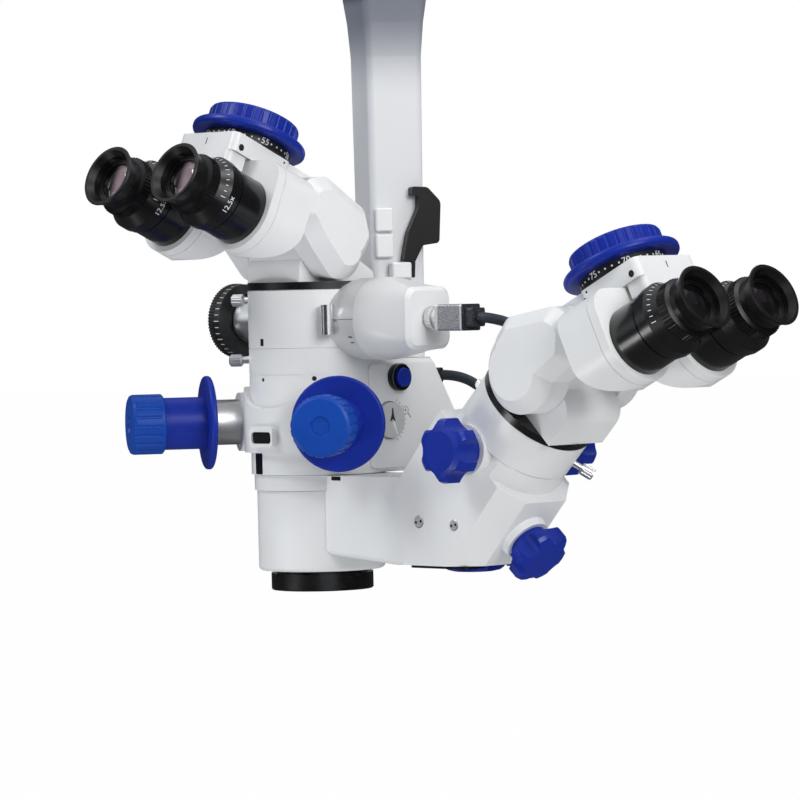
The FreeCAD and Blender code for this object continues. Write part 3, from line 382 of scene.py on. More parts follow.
def lathe(stations, count=64):
    """A closed outline of (radius, height) spun about +Z."""
    work = bmesh.new()
    rings = []
    for radius, height in stations:
        if radius < 1e-6:
            rings.append([work.verts.new((0, 0, height))] * count)
            continue
        rings.append([work.verts.new((radius * math.cos(math.tau * n / count),
                                      radius * math.sin(math.tau * n / count), height))
                      for n in range(count)])
    for at in range(len(rings)):
        lower, upper = rings[at], rings[(at + 1) % len(rings)]
        for n in range(count):
            ahead = (n + 1) % count
            corners = []
            for vert in (lower[n], lower[ahead], upper[ahead], upper[n]):
                if vert not in corners:
                    corners.append(vert)
            if len(corners) > 2:
                work.faces.new(corners)
    return from_bmesh(work)


def joined(meshes):
    work = bmesh.new()
    for mesh, place in meshes:
        mesh.transform(place)
        work.from_mesh(mesh)
        bpy.data.meshes.remove(mesh)
    out = bpy.data.meshes.new("work")
    work.to_mesh(out)
    work.free()
    return out


def lettering(text, height, relief=0.08):
    """Plain figures as a mesh, centred, with their top towards +v."""
    curve = bpy.data.curves.new("figures", "FONT")
    curve.body, curve.size, curve.extrude = text, height * 1.38, relief / 2
    curve.align_x, curve.align_y = "CENTER", "CENTER"
    curve.resolution_u = 3
    holder = bpy.data.objects.new("figures", curve)
    mesh = bpy.data.meshes.new_from_object(holder)
    bpy.data.objects.remove(holder)
    bpy.data.curves.remove(curve)
    return mesh


def wrapped(mesh, radius, degrees, height, lean=0.0):
    """Bends a flat marking round +Z at an angle and height, on a wall that may lean inwards."""
    tilt = math.radians(lean)
    for vert in mesh.vertices:
        u, v, w = vert.co
        out = radius + w - v * math.sin(tilt)
        angle = math.radians(degrees) + u / radius
        vert.co = (out * math.cos(angle), out * math.sin(angle), height + v * math.cos(tilt))
    return mesh


# One tree repeats a small bar round an axis: ribs, ticks, dots and screw flutes.
def bar_ring_tree():
    tree = bpy.data.node_groups.new("bars_round_an_axis", "GeometryNodeTree")
    sockets = (("Geometry", "NodeSocketGeometry"), ("Count", "NodeSocketInt"),
               ("Radius", "NodeSocketFloat"), ("Start", "NodeSocketFloat"), ("Sweep", "NodeSocketFloat"),
               ("Long", "NodeSocketFloat"), ("Wide", "NodeSocketFloat"), ("High", "NodeSocketFloat"),
               ("Lean", "NodeSocketFloat"), ("Every", "NodeSocketInt"), ("Longer", "NodeSocketFloat"),
               ("Round", "NodeSocketBool"), ("Finish", "NodeSocketMaterial"))
    for name, kind in sockets:
        tree.interface.new_socket(name, in_out="INPUT", socket_type=kind)
    tree.interface.new_socket("Geometry", in_out="OUTPUT", socket_type="NodeSocketGeometry")
    given = tree.nodes.new("NodeGroupInput").outputs
    out = tree.nodes.new("NodeGroupOutput")

    def add(kind, settings=None, **links):
        node = tree.nodes.new(kind)
        for key, value in (settings or {}).items():
            setattr(node, key, value)
        for key, value in links.items():
            at = int(key[1:]) if key[0] == "i" and key[1:].isdigit() else key
            socket = node.inputs[at]
            if isinstance(value, bpy.types.NodeSocket):
                tree.links.new(value, socket)
            else:
                socket.default_value = value
        return node.outputs[0]

    def sums(operation, first, second=0.0):
        return add("ShaderNodeMath", {"operation": operation}, i0=first, i1=second)

    index = add("GeometryNodeInputIndex")
    angle = sums("ADD", given["Start"], sums("DIVIDE", sums("MULTIPLY", given["Sweep"], index),
                                             given["Count"]))
    east = sums("MULTIPLY", sums("COSINE", angle), given["Radius"])
    north = sums("MULTIPLY", sums("SINE", angle), given["Radius"])
    spot = add("ShaderNodeCombineXYZ", X=east, Y=north)
    points = add("GeometryNodePoints", Count=given["Count"], Position=spot)
    box = add("GeometryNodeMeshCube", Size=add("ShaderNodeCombineXYZ", X=given["High"], Y=given["Wide"],
                                               Z=given["Long"]))
    rod = add("GeometryNodeMeshCylinder", Vertices=10, Radius=sums("MULTIPLY", given["Wide"], 0.5),
              Depth=given["Long"])
    switch = tree.nodes.new("GeometryNodeSwitch")
    switch.input_type = "GEOMETRY"
    tree.links.new(given["Round"], switch.inputs["Switch"])
    tree.links.new(box, switch.inputs["False"])
    tree.links.new(rod, switch.inputs["True"])
    shape = switch.outputs[0]
    major = sums("LESS_THAN", sums("MODULO", index, given["Every"]), 0.5)
    stretch = sums("ADD", 1.0, sums("MULTIPLY", major, sums("SUBTRACT", given["Longer"], 1.0)))
    facing = add("FunctionNodeEulerToRotation",
                 Euler=add("ShaderNodeCombineXYZ", Y=given["Lean"], Z=angle))
    copies = add("GeometryNodeInstanceOnPoints", Points=points, Instance=shape, Rotation=facing,
                 Scale=add("ShaderNodeCombineXYZ", X=1.0, Y=1.0, Z=stretch))
    real = add("GeometryNodeRealizeInstances", Geometry=copies)
    dressed = add("GeometryNodeSetMaterial", Geometry=real, Material=given["Finish"])
    tree.links.new(dressed, out.inputs[0])
    return tree


def bar_ring(finish, **sizes):
    """A plain mesh from the tree: sizes in millimetres, angles in degrees."""
    tree = bpy.data.node_groups.get("bars_round_an_axis") or bar_ring_tree()
    values = {"Count": 12, "Radius": 10.0, "Start": 0.0, "Sweep": 360.0, "Long": 1.0, "Wide": 0.4,
              "High": 0.3, "Lean": 0.0, "Every": 1000, "Longer": 1.0, "Round": False}
    values.update({key.title(): value for key, value in sizes.items()})
    for key in ("Start", "Sweep", "Lean"):
        values[key] = math.radians(values[key])
    holder = bpy.data.objects.new("bars", bpy.data.meshes.new("bars"))
    bpy.context.scene.collection.objects.link(holder)
    maker = holder.modifiers.new("bars", "NODES")
    maker.node_group = tree
    for item in tree.interface.items_tree:
        if item.in_out != "INPUT" or item.name == "Geometry":
            continue
        maker[item.identifier] = finish if item.name == "Finish" else values[item.name]
    bpy.context.view_layer.update()
    seen = holder.evaluated_get(bpy.context.evaluated_depsgraph_get())
    mesh = bpy.data.meshes.new_from_object(seen)
    holder.modifiers.remove(maker)
    bpy.data.objects.remove(holder)
    return mesh


class SceneSizes(bpy.types.PropertyGroup):
    """The camera, the light and the cable."""
    lens: FloatProperty(name="Lens", description="Focal length on a 36 mm sensor", default=202.5,
                        unit="CAMERA")
    roll: FloatProperty(name="Roll", description="Turn of the camera about its view", default=-1.3)
    key_power: FloatProperty(name="Key light", description="Power of the right-hand lamp", default=29.0,
                             unit="POWER")
    fill_power: FloatProperty(name="Fill light", description="Power of the left-hand lamp", default=24.0,
                              unit="POWER")
    ambient: FloatProperty(name="Ambient", description="Strength of the surrounding light", default=0.34)
    cable_diameter: FloatProperty(name="Cable diameter", description="Outer diameter of the video cable",
                                  default=0.007, unit="LENGTH")


class Colours(bpy.types.PropertyGroup):
    """The finishes' colours."""
    housing: FloatVectorProperty(name="Housing", description="Housing lacquer", subtype="COLOR",
                                 default=(0.80, 0.81, 0.815))
    column: FloatVectorProperty(name="Column", description="Lacquer of the hanging column",
                                subtype="COLOR", default=(0.70, 0.715, 0.735))
    # The colour of the painted shade on the column's ceiling end.
    column_top: FloatVectorProperty(name="Column top", description="Cover at the ceiling end",
                                    subtype="COLOR", default=(0.20, 0.215, 0.26))
    knob: FloatVectorProperty(name="Knobs", description="Royal blue moulded knobs", subtype="COLOR",
                              default=(0.006, 0.024, 0.29))
    grip: FloatVectorProperty(name="Grips", description="Blue sterile grips", subtype="COLOR",
                              default=(0.003, 0.052, 0.34))
    black: FloatVectorProperty(name="Black parts", description="Black anodising and plastic",
                               subtype="COLOR", default=(0.0045, 0.0045, 0.005))
    metal: FloatVectorProperty(name="Bare metal", description="Tubes and screws", subtype="COLOR",
                               default=(0.62, 0.62, 0.61))


class MarkingSizes(bpy.types.PropertyGroup):
    """The scales and markings."""
    figure_height: FloatProperty(name="Figure height", description="Height of the scale figures, mm",
                                 default=4.4)
    diopter_ticks: IntProperty(name="Diopter ticks", description="Ticks round each eyepiece", default=21)
    knurl_ribs: IntProperty(name="Knurl ribs", description="Ribs round each diopter ring", default=54)


FINISH = {}


def finish(name):
    return FINISH[name]


class MICROSCOPE_OT_camera(bpy.types.Operator):
    """The camera, seen from the surgeon's right"""
    bl_idname = "microscope.camera"
    bl_label = "Camera"

    def execute(self, context):
        values = context.scene.microscope_scene
        spot = Vector((2.2029, -2.1965, -0.2076))
        target = Vector((0.0392, -0.0328, -0.2871))
        data = bpy.data.cameras.new("view")
        data.lens, data.sensor_width = values.lens, 36.0
        data.clip_start, data.clip_end = 0.05, 200
        camera = bpy.data.objects.new("view", data)
        aim = (target - spot).to_track_quat("-Z", "Y").to_matrix().to_4x4()
        camera.matrix_world = Matrix.Translation(spot) @ aim @ turn("Z", values.roll)
        context.scene.collection.objects.link(camera)
        context.scene.camera = camera
        return {"FINISHED"}


class MICROSCOPE_OT_cable(bpy.types.Operator):
    """The video cable, from the camera's connector round to the gland on the body"""
    bl_idname = "microscope.cable"
    bl_label = "Video cable"

    def execute(self, context):
        diameter = context.scene.microscope_scene.cable_diameter
        route = [(0.1530, -0.0720, -0.2310), (0.1700, -0.0700, -0.2320), (0.1790, -0.0520, -0.2420),
                 (0.1730, -0.0260, -0.2610), (0.1500, -0.0020, -0.2750), (0.1190, 0.0150, -0.2830),
                 (0.0890, 0.0250, -0.2860), (0.0640, 0.0280, -0.2840), (0.0443, 0.0222, -0.2715),
                 (0.0317, 0.0159, -0.2715)]
        curve = bpy.data.curves.new("video_cable", "CURVE")
        curve.dimensions = "3D"
        line = curve.splines.new("NURBS")
        line.points.add(len(route) - 1)
        for point, spot in zip(line.points, route):
            point.co = (*spot, 1)
        line.use_endpoint_u = True
        line.order_u = 3
        line.resolution_u = 12
        curve.bevel_depth, curve.bevel_resolution = diameter / 2, 6
        curve.use_fill_caps = True
        cable = bpy.data.objects.new("video_cable", curve)
        context.scene.collection.objects.link(cable)
        curve.materials.append(finish("jacket"))
        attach(cable, "microscope_head")
        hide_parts("camera_cable")
        return {"FINISHED"}


class MICROSCOPE_OT_finishes(bpy.types.Operator):
    """Mixes the paints, plastics, metals and glass, and dresses the solid pieces in them"""
    bl_idname = "microscope.finishes"
    bl_label = "Finishes"

    def execute(self, context):
        tint = context.scene.microscope_colours
        white, black, metal = tuple(tint.housing), tuple(tint.black), tuple(tint.metal)
        FINISH.update({
            "white": lacquer("housing_lacquer", white),
            "dial": lacquer("dial_lacquer", [c * 0.66 for c in white], rough=0.3),
            "panel": lacquer("panel_lacquer", [c * 0.99 for c in white], rough=0.36),
            "collar": collar_metal("collar_metal", [c * 0.84 for c in white]),
            "column": column_paint("column_lacquer", tuple(tint.column), tuple(tint.column_top)),
            "knob": moulded("knob_plastic", tuple(tint.knob), rough=0.30, coat=0.12),
            "surgeon_knob": two_colour_knob("surgeon_knob_plastic", "surgeon", tuple(tint.knob)),
            "assistant_knob": two_colour_knob("assistant_knob_plastic", "assistant", tuple(tint.knob)),
            "black": moulded("black_plastic", black, rough=0.34, sparkle=0.2, coat=0.2),
            "iris": anodised("iris_anodising", black, rough=0.3, axis=(1, 0, 0)),
            "ring": anodised("ring_anodising", black, rough=0.22),
            "rubber": rubber("eyecup_rubber_skin", (0.004, 0.0038, 0.0038), rough=0.30),
            "steel": bare_metal("screw_steel", (0.72, 0.72, 0.73), rough=0.26),
            "aluminium": bare_metal("turned_aluminium", metal, rough=0.34, axis=(1, 1, 0)),
            "chrome": bare_metal("polished_spigot", (0.80, 0.81, 0.83), rough=0.2, axis=(1, 0, 0)),
            "front_glass": coated_glass("objective_glass", (0.010, 0.012, 0.020), (0.02, 0.03, 0.05)),
            "prism": coated_glass("prism_glass", (0.20, 0.22, 0.24), (0.3, 0.32, 0.34)),
            "jacket": rubber("cable_skin", (0.016, 0.023, 0.032), rough=0.45),
            "white_ink": ink("white_figures", (0.78, 0.79, 0.80)),
            "black_ink": ink("black_figures", (0.02, 0.02, 0.024)),
            "grey_ink": ink("grey_figures", (0.24, 0.25, 0.28)),
            # Near-black painted shade, laid in recesses where shade falls.
            "bore_shade": ink("shadow_of_a_bore", (0.004, 0.004, 0.005), rough=0.8),
            "connector": connector_metal("connector_metal"),
        })
        for side, sign in SIDES:
            mirror = Matrix.Diagonal((sign, 1, 1))
            cap = (tuple(tint.grip), mirror @ Vector(GRIP_AXIS), mirror @ Vector(GRIP_SPOT), CAP_START)
            FINISH[f"{side}_grip"] = moulded(f"{side}_grip_plastic", tuple(tint.knob), rough=0.40,
                                             sparkle=0.8, cap=cap)
        for who in HEADS:
            for side, sign in SIDES:
                place = TO_MODEL @ eye_frame(who, sign)
                # The surgeon's eye lenses carry a pale painted reflection; the assistant's carry none.
                pale, shine = ((0.36, 0.27, 0.30), 1.9) if who == "surgeon" else (None, 1.35)
                FINISH[f"{who}_{side}_glass"] = coated_glass(
                    f"{who}_{side}_eye_glass", (0.003, 0.003, 0.004), (0.008, 0.006, 0.007), pale, place,
                    shine)
                FINISH[f"{who}_{side}_barrel"] = anodised(
                    f"{who}_{side}_barrel_anodising", black, rough=0.19, axis=place.col[2].to_3d(),
                    origin=place.translation)
        worn = {
            "column": ("arm_column",), "panel": ("side_panel", "handle_carrier"),
            "white": ("body_housing", "objective_housing", "beam_splitter_housing", "camera_housing",
                      "assistant_foot", "assistant_housing", "assistant_tube", "surgeon_tube_base",
                      "assistant_tube_base", "surgeon_swing_arms", "assistant_swing_arms", "surgeon_head",
                      "assistant_head", "surgeon_collar_left", "surgeon_collar_right",
                      "assistant_collar_left", "assistant_collar_right", "cable_clips"),
            "collar": ("camera_collar",), "connector": ("camera_connector",), "dial": ("zoom_dial",),
            "steel": ("arm_flange", "swivel_shaft", "clamp_screws", "assistant_clamp_screws"),
            "knob": ("focus_depth_button", "assistant_focus_knobs", "assistant_tilt_knob",
                     "assistant_lock_knob"),
            "left_grip": ("grip_left",), "right_grip": ("grip_right",),
            "surgeon_knob": ("surgeon_distance_knob",), "assistant_knob": ("assistant_distance_knob",),
            "black": ("cable_hook", "assistant_bottom_cover", "cable_gland"),
            "ring": ("objective_ring", "surgeon_mount_ring", "assistant_mount_ring"),
            "iris": ("iris_wheel",), "chrome": ("iris_port_neck",), "aluminium": ("handle_tubes",),
            "front_glass": ("objective_lens",), "prism": ("beam_splitter_prism",),
            "rubber": tuple(f"{who}_eyecup_{side}" for who in HEADS for side, _ in SIDES),
        }
        for who in HEADS:
            for side, _ in SIDES:
                worn[f"{who}_{side}_barrel"] = (f"{who}_eyepiece_{side}",)
                worn[f"{who}_{side}_glass"] = (f"{who}_eye_lens_{side}",)
        for name, nodes in worn.items():
            for node in nodes:
                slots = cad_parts[node].data.materials
                slots.clear()
                slots.append(finish(name))
        return {"FINISHED"}


def connector_metal(name):
    """Nickel connector barrel and speckled box shell with pale rims, turning dark grey-black on its end
    face.
    """
    mix = Finish(name)
    far = mix.along((1, 0, 0), TO_MODEL @ Vector((CAMERA_END, 0, PORT)))
    # Beyond 37.2 mm along X, across the end face, the tone turns dark grey-black and less metallic.
    clamp = far.above(37.2, 0.05)
    middle = far.within(15.2, 35.4, 0.3)
    speck = mix.noise(1100, 2)
    tone = mix.blend((0.80, 0.79, 0.78), (0.70, 0.69, 0.69), speck.above(0.5, 0.2))
    tone = mix.blend(tone, mix.blend((0.46, 0.45, 0.48), (0.22, 0.22, 0.25), speck.above(0.54, 0.08)),
                     middle)
    tone = mix.blend(tone, mix.blend((0.03, 0.032, 0.04), (0.14, 0.15, 0.17), speck.above(0.62, 0.06)),
                     clamp)
    mix.bump(speck, 0.06, 0.0001)
    return mix.coat(base_color=tone, metallic=0.75 - 0.5 * clamp,
                    roughness=0.34 + 0.08 * speck + 0.05 * clamp)


def collar_metal(name, colour):
    """Silver-grey lacquered clamp ring with a fine joint line and a bare clamp barrel."""
    mix = Finish(name)
    middle = TO_MODEL @ Vector((0, 0, PORT))
    side, out, level = (mix.along(axis, middle) for axis in ((0, -1, 0), (1, 0, 0), (0, 0, 1)))
    bare = side.above(27.45, 0.05) * out.below(48.2, 0.2)
    joint = level.within(-0.3, 0.3, 0.08) * side.above(0, 0.5) * (1 - bare)
    fleck = mix.noise(1500, 2)
    smear = mix.noise(110, 3)
    tone = mix.blend(colour, [c * 0.93 for c in colour], fleck.above(0.65, 0.1))
    tone = mix.blend(tone, [c * 0.35 for c in colour], joint)
    tone = mix.blend(tone, (0.70, 0.70, 0.71), bare)
    mix.bump(fleck, 0.05)
    return mix.coat(base_color=tone, metallic=0.25 + 0.75 * bare,
                    roughness=0.3 + 0.08 * smear - 0.14 * bare)


class MICROSCOPE_OT_distance_scales(bpy.types.Operator):
    """Figures and dots on the black ring under each eye-distance knob, and the line they are read at"""
    bl_idname = "microscope.distance_scales"
    bl_label = "Eye-distance scales"

    def execute(self, context):
        height = context.scene.microscope_marks.figure_height
        per_mm = math.degrees(1 / SCALE_GEAR)
        for who in HEADS:
            body = f"{who}_distance_knob"
            figures = []
            for value in range(50, 81, 5):
                angle = -90 + (READING[who] - value) * per_mm
                if abs(angle + 90) > 150:
                    continue
                figure = wrapped(lettering(str(value), height), SCALE_WALL, angle, SCALE_HEIGHT)
                figures.append((figure, HOME))
                dots = bar_ring(finish("white_ink"), count=4, radius=SCALE_WALL, start=angle - per_mm,
                                sweep=-4 * per_mm, long=1.1, wide=1.1, high=0.16)
                figures.append((dots, shift(0, 0, SCALE_HEIGHT)))
            add_mesh(f"{who}_scale_figures", joined(figures), knob_frame(who), body,
                     finish("white_ink"))
            line = plate([(-0.35, -2.2), (0.35, -2.2), (0.35, 2.2), (-0.35, 2.2)], 0, 0.1)
            front = shift(0, -73.45, 18.5) @ turn("X", 90)
            add_mesh(f"{who}_index_line", line, HEADS[who] @ front, f"{who}_eye_head",
                     finish("black_ink"))
        return {"FINISHED"}


class MICROSCOPE_OT_eyepieces(bpy.types.Operator):
    """Ticks, figures and knurling on the four eyepieces"""
    bl_idname = "microscope.eyepieces"
    bl_label = "Eyepiece markings"

    def execute(self, context):
        marks = context.scene.microscope_marks
        slope = math.degrees(math.atan2(5.3, 7.0))
        for who in HEADS:
            for side, sign in SIDES:
                place = eye_frame(who, sign)
                body = f"{who}_{side}_collar"
                ticks = bar_ring(finish("white_ink"), count=marks.diopter_ticks, radius=22.6, start=-15,
                                 sweep=215, long=2.1, wide=0.42, high=0.16, lean=-slope, every=5,
                                 longer=1.45)
                ticks.transform(shift(0, 0, BARREL_FACE + 36.0))
                power = wrapped(lettering("12.5x", 4.0), 24.75, -22, BARREL_FACE + 30.2)
                add_mesh(f"{who}_{side}_eyepiece_marks", joined([(ticks, HOME), (power, HOME)]), place,
                         body, finish("white_ink"))
                ribs = bar_ring(finish("black"), count=marks.knurl_ribs, radius=19.95, long=6.4, wide=1.3,
                                high=0.9, round=True)
                ribs.transform(shift(0, 0, BARREL_FACE + 44.2))
                add_mesh(f"{who}_{side}_diopter_knurl", ribs, place, f"{who}_{side}_eyecup",
                         finish("black"))
        return {"FINISHED"}


class MICROSCOPE_OT_iris_wheel(bpy.types.Operator):
    """Ribs, white lines and figures of the iris wheel"""
    bl_idname = "microscope.iris_wheel"
    bl_label = "Iris wheel scale"

    def execute(self, context):
        place = shift(0, 0, PORT) @ turn("Y", -90)
        ribs = bar_ring(finish("iris"), count=72, radius=25.0, long=5.0, wide=1.1, high=1.0, round=True)
        ribs.transform(shift(0, 0, 79.0))
        add_mesh("iris_ribs", ribs, place, "iris_wheel", finish("iris"))
        lines = bar_ring(finish("white_ink"), count=36, radius=25.02, long=3.6, wide=0.5, high=0.14,
                         every=3, longer=1.35)
        lines.transform(shift(0, 0, 73.6))
        pieces = [(lines, HOME)]
        slope = math.degrees(math.atan2(6.5, 3.6))
        for at in range(8):
            figure = wrapped(lettering(str(2 + 2 * at), 3.4), 21.6, 40 + 45 * at, 69.3, lean=-slope)
            pieces.append((figure, HOME))
        add_mesh("iris_scale", joined(pieces), place, "iris_wheel", finish("white_ink"))
        return {"FINISHED"}


class MICROSCOPE_OT_panel_marks(bpy.types.Operator):
    """The zoom dial's pointer, needle and marks, and the button's dot and black surround"""
    bl_idname = "microscope.panel_marks"
    bl_label = "Side panel"

    def execute(self, context):
        dial = PANEL @ shift(*DIAL, 3.45)
        pointer = plate([(-2.6, -1.0), (0, 0.6), (2.6, -1.0), (0.9, 4.0), (0.5, 8.2), (-0.5, 8.2),
                         (-0.9, 4.0)], 0, 0.15)
        needle = plate([(-0.45, -10.6), (0.45, -10.6), (1.3, -1.5), (-1.3, -1.5)], 0, 0.14)
        add_mesh("dial_pointer", pointer, dial, "zoom_dial", finish("black_ink"))
        add_mesh("dial_needle", needle, dial @ turn("Z", 24), "zoom_dial", finish("white_ink"))
        ticks = bar_ring(finish("grey_ink"), count=11, radius=15.2, start=-60, sweep=132, long=0.1,
                         wide=0.35, high=1.6)
        glass = (15.8, 6.2)
        rim = bar_ring(finish("grey_ink"), count=28, radius=2.6, long=0.1, wide=0.62, high=0.35)
        marks = joined([(plate(rounded(1.5, 0.22, 0.1), 0, 0.1), shift(*glass, 0)),
                        (plate(rounded(0.22, 1.5, 0.1), 0, 0.1), shift(*glass, 0)),
                        (rim, shift(*glass, 0.05)),
                        (plate([(17.5, 4.1), (20.4, 0.9), (20.9, 1.4), (18.0, 4.6)], 0, 0.1), HOME),
                        (ticks, shift(0, 0, 0.05))])
        add_mesh("dial_marks", marks, PANEL @ shift(*DIAL, 0.02), "microscope_head", finish("grey_ink"))
        ring = lathe([(12.3, 0), (12.9, 0), (12.9, 0.35), (12.3, 0.35)])
        add_mesh("dial_rim_shadow", ring, PANEL @ shift(*DIAL, 0), "microscope_head",
                 finish("grey_ink"))
        button = PANEL @ shift(*BUTTON, 7.42)
        add_mesh("button_dot", disc(1.0, 0, 0.12), button, "depth_button", finish("black_ink"))
        collar = lathe([(6.75, 0), (9.3, 0), (9.3, 4.3), (8.6, 4.9), (6.75, 4.9)])
        add_mesh("button_surround", collar, PANEL @ shift(*BUTTON, 0), "microscope_head",
                 finish("black"), True)
        return {"FINISHED"}


class MICROSCOPE_OT_body_details(bpy.types.Operator):
    """Window, black strip, lid pin heads, connector ribs and cheek screws; painted shade in the index
    recesses, nose sockets, camera collar opening and screw head recesses; painted shadow between body and
    foot
    """
    bl_idname = "microscope.body_details"
    bl_label = "Body details"

    def execute(self, context):
        # Painted shade: near-black discs and a rounded patch in the index recesses on the drum.
        bore_shadows = [(wrapped(disc(1.25, -0.05, 0.06), DRUM + 0.02, -96.5, 143.3), HOME),
                 (wrapped(disc(1.6, -0.05, 0.06), DRUM + 0.02, -47.0, 143.8), HOME),
                 (wrapped(plate(rounded(1.7, 2.4, 0.5), -0.05, 0.06), DRUM + 0.02, -97, 168.5), HOME)]
        add_mesh("index_bore_shadows", joined(bore_shadows), HOME, "microscope_head", finish("bore_shade"))
        window = plate(rounded(9.3, 3.8, 2.2), -0.1, 0.5)
        add_mesh("scale_window", window, shift(0, -52.7, 104.5) @ turn("X", 90), "microscope_head",
                 finish("black"))
        strip = wrapped(plate(rounded(4.6, 7.2, 0.8), -0.1, 0.35), DRUM, -106, 86.7)
        add_mesh("black_strip", strip, HOME, "microscope_head", finish("black"))
        screws, hole_shadows = [], []
        for x, z, radius in ((127.5, 49.8, 4.2), (159.5, 48.2, 3.7)):
            seat = shift(x, -34, z) @ turn("X", 90)
            screws.append((lathe([(0, -0.2), (radius, -0.2), (radius, 0.3), (radius - 0.5, 0.7),
                                  (0, 0.7)], 36), seat))
            # Painted shade: a near-black disc in each of the two recesses of every screw head.
            for way in (-1, 1):
                hole_shadows.append((disc(0.95, 0.68, 0.78, 20, (way * radius * 0.52, way * 0.4)), seat))
        add_mesh("cheek_screws", joined(screws), HOME, "assistant_scope", finish("steel"))
        add_mesh("cheek_screw_hole_shadows", joined(hole_shadows), HOME, "assistant_scope", finish("bore_shade"))
        # Painted shadow: a black plate in the shadow between the body and the foot.
        gap_shadow = plate(rounded(4.2, 1.3, 0.5), -0.1, 0.4)
        add_mesh("foot_gap_shadow", gap_shadow, shift(44, -27.8, 76.6) @ turn("X", 90), "assistant_scope",
                 finish("black"))
        # Near-black discs on each side of the lid: two pin heads, and painted shade in the nose socket.
        for who in HEADS:
            pins_and_socket_shadow = [(disc(radius, -0.1, 0.06, 20), shift(sign * 28, forward, up) @ turn("Y", sign * 90))
                    for _, sign in SIDES
                    for forward, up, radius in ((-27, 22.2, 0.8), (-24, 18.4, 1.0), (-66.4, 15.6, 2.3))]
            add_mesh(f"{who}_lid_pins_and_socket_shadows", joined(pins_and_socket_shadow), HEADS[who], f"{who}_eye_head", finish("bore_shade"))
        along = shift(0, 0, PORT) @ turn("Y", 90)
        # Painted shade: a near-black patch in the opening of the camera collar.
        slot_shadow = wrapped(plate(rounded(2.6, 1.7, 0.4), -0.1, 0.05), CAMERA_COLLAR, -60, 57.5)
        add_mesh("collar_slot_shadow", slot_shadow, along, "microscope_head", finish("bore_shade"))
        ribs = bar_ring(finish("connector"), count=30, radius=8.15, long=4.4, wide=0.9, high=0.5,
                        round=True)
        ribs.transform(shift(0, 0, 113.1))
        add_mesh("connector_ribs", ribs, along, "microscope_head", finish("connector"))
        return {"FINISHED"}


class MICROSCOPE_OT_thumbscrews(bpy.types.Operator):
    """Flutes round the heads of the small clamp screws"""
    bl_idname = "microscope.thumbscrews"
    bl_label = "Thumbscrew flutes"

    def execute(self, context):
        for name, body, spots in (
                ("clamp_flutes", "microscope_head", [(46.6, 212, 156, HOME), (46.6, 205, 197, HOME)]),
                ("assistant_clamp_flutes", "assistant_scope",
                 [(40.1, 170, 66.9, shift(135, 0, 54) @ turn("Y", 45)),
                  (40.1, 40, 76.9, shift(135, 0, 54) @ turn("Y", 45))])):
            heads = []
            for radius, degrees, height, base in spots:
                flutes = bar_ring(finish("steel"), count=22, radius=3.75, long=7.0, wide=0.75, high=0.5,
                                  round=True)
                place = base @ shift(0, 0, height) @ turn("Z", degrees) @ shift(radius + 10.5, 0, 0) \
                    @ turn("Y", 90)
                heads.append((flutes, place))
            add_mesh(name, joined(heads), HOME, body, finish("steel"))
        return {"FINISHED"}


class MICROSCOPE_OT_stage(bpy.types.Operator):
    """Pale floor and backdrop, with soft studio light"""
    bl_idname = "microscope.stage"
    bl_label = "Studio"

    def execute(self, context):
        scene = context.scene
        values = scene.microscope_scene
        scene.view_settings.view_transform = "Standard"
        bpy.ops.mesh.primitive_plane_add(size=60, location=(0, 0, -1.15))
        floor = context.object
        floor.name = "floor"
        paint = bpy.data.materials.new("pale_floor")
        paint.use_nodes = True
        tree = paint.node_tree
        tree.nodes.clear()
        out = tree.nodes.new("ShaderNodeOutputMaterial")
        matt = tree.nodes.new("ShaderNodeBsdfDiffuse")
        tree.links.new(dimmed_in_reflections(tree, 0.9, 0.16), matt.inputs[0])
        glow = tree.nodes.new("ShaderNodeEmission")
        glow.inputs[0].default_value = (1, 1, 1, 1)
        mixed(tree, seen_directly(tree, 0.99), matt, glow, out)
        floor.data.materials.append(paint)

        world = bpy.data.worlds.new("studio")
        world.use_nodes = True
        scene.world = world
        tree = world.node_tree
        tree.nodes.clear()
        out = tree.nodes.new("ShaderNodeOutputWorld")
        soft = tree.nodes.new("ShaderNodeBackground")
        soft.inputs[0].default_value = (0.93, 0.96, 1.0, 1)
        tree.links.new(studio_level(tree, values.ambient), soft.inputs[1])
        white = tree.nodes.new("ShaderNodeBackground")
        white.inputs[0].default_value = (1, 1, 1, 1)
        mixed(tree, seen_directly(tree, 1.0), soft, white, out)

        lamps = (("key", (2.1, -0.5, 0.6), 1.0, values.key_power, (1.0, 0.99, 0.975)),
                 ("fill", (-0.9, -1.6, 1.5), 0.8, values.fill_power, (0.97, 0.985, 1.0)),
                 ("low", (-0.5, -1.6, -0.95), 0.4, values.fill_power * 0.2, (1, 1, 1)),
                 ("top", (0.9, 0.2, 1.5), 1.0, values.fill_power * 0.42, (1, 1, 1)))
        for name, spot, size, power, colour in lamps:
            lamp = bpy.data.lights.new(name, "AREA")
            lamp.size, lamp.energy, lamp.color = size, power, colour
            holder = bpy.data.objects.new(name, lamp)
            aim = (Vector((0.05, -0.05, -0.28)) - Vector(spot)).to_track_quat("-Z", "Y")
            holder.matrix_world = Matrix.Translation(spot) @ aim.to_matrix().to_4x4()
            scene.collection.objects.link(holder)
        return {"FINISHED"}


def mixed(tree, share, first, second, out):
    """Gives an output the first shader, with the second one in its share."""
    mixer = tree.nodes.new("ShaderNodeMixShader")
    for socket, value in zip(mixer.inputs, (share, first.outputs[0], second.outputs[0])):
        tree.links.new(value, socket)
    tree.links.new(mixer.outputs[0], out.inputs[0])


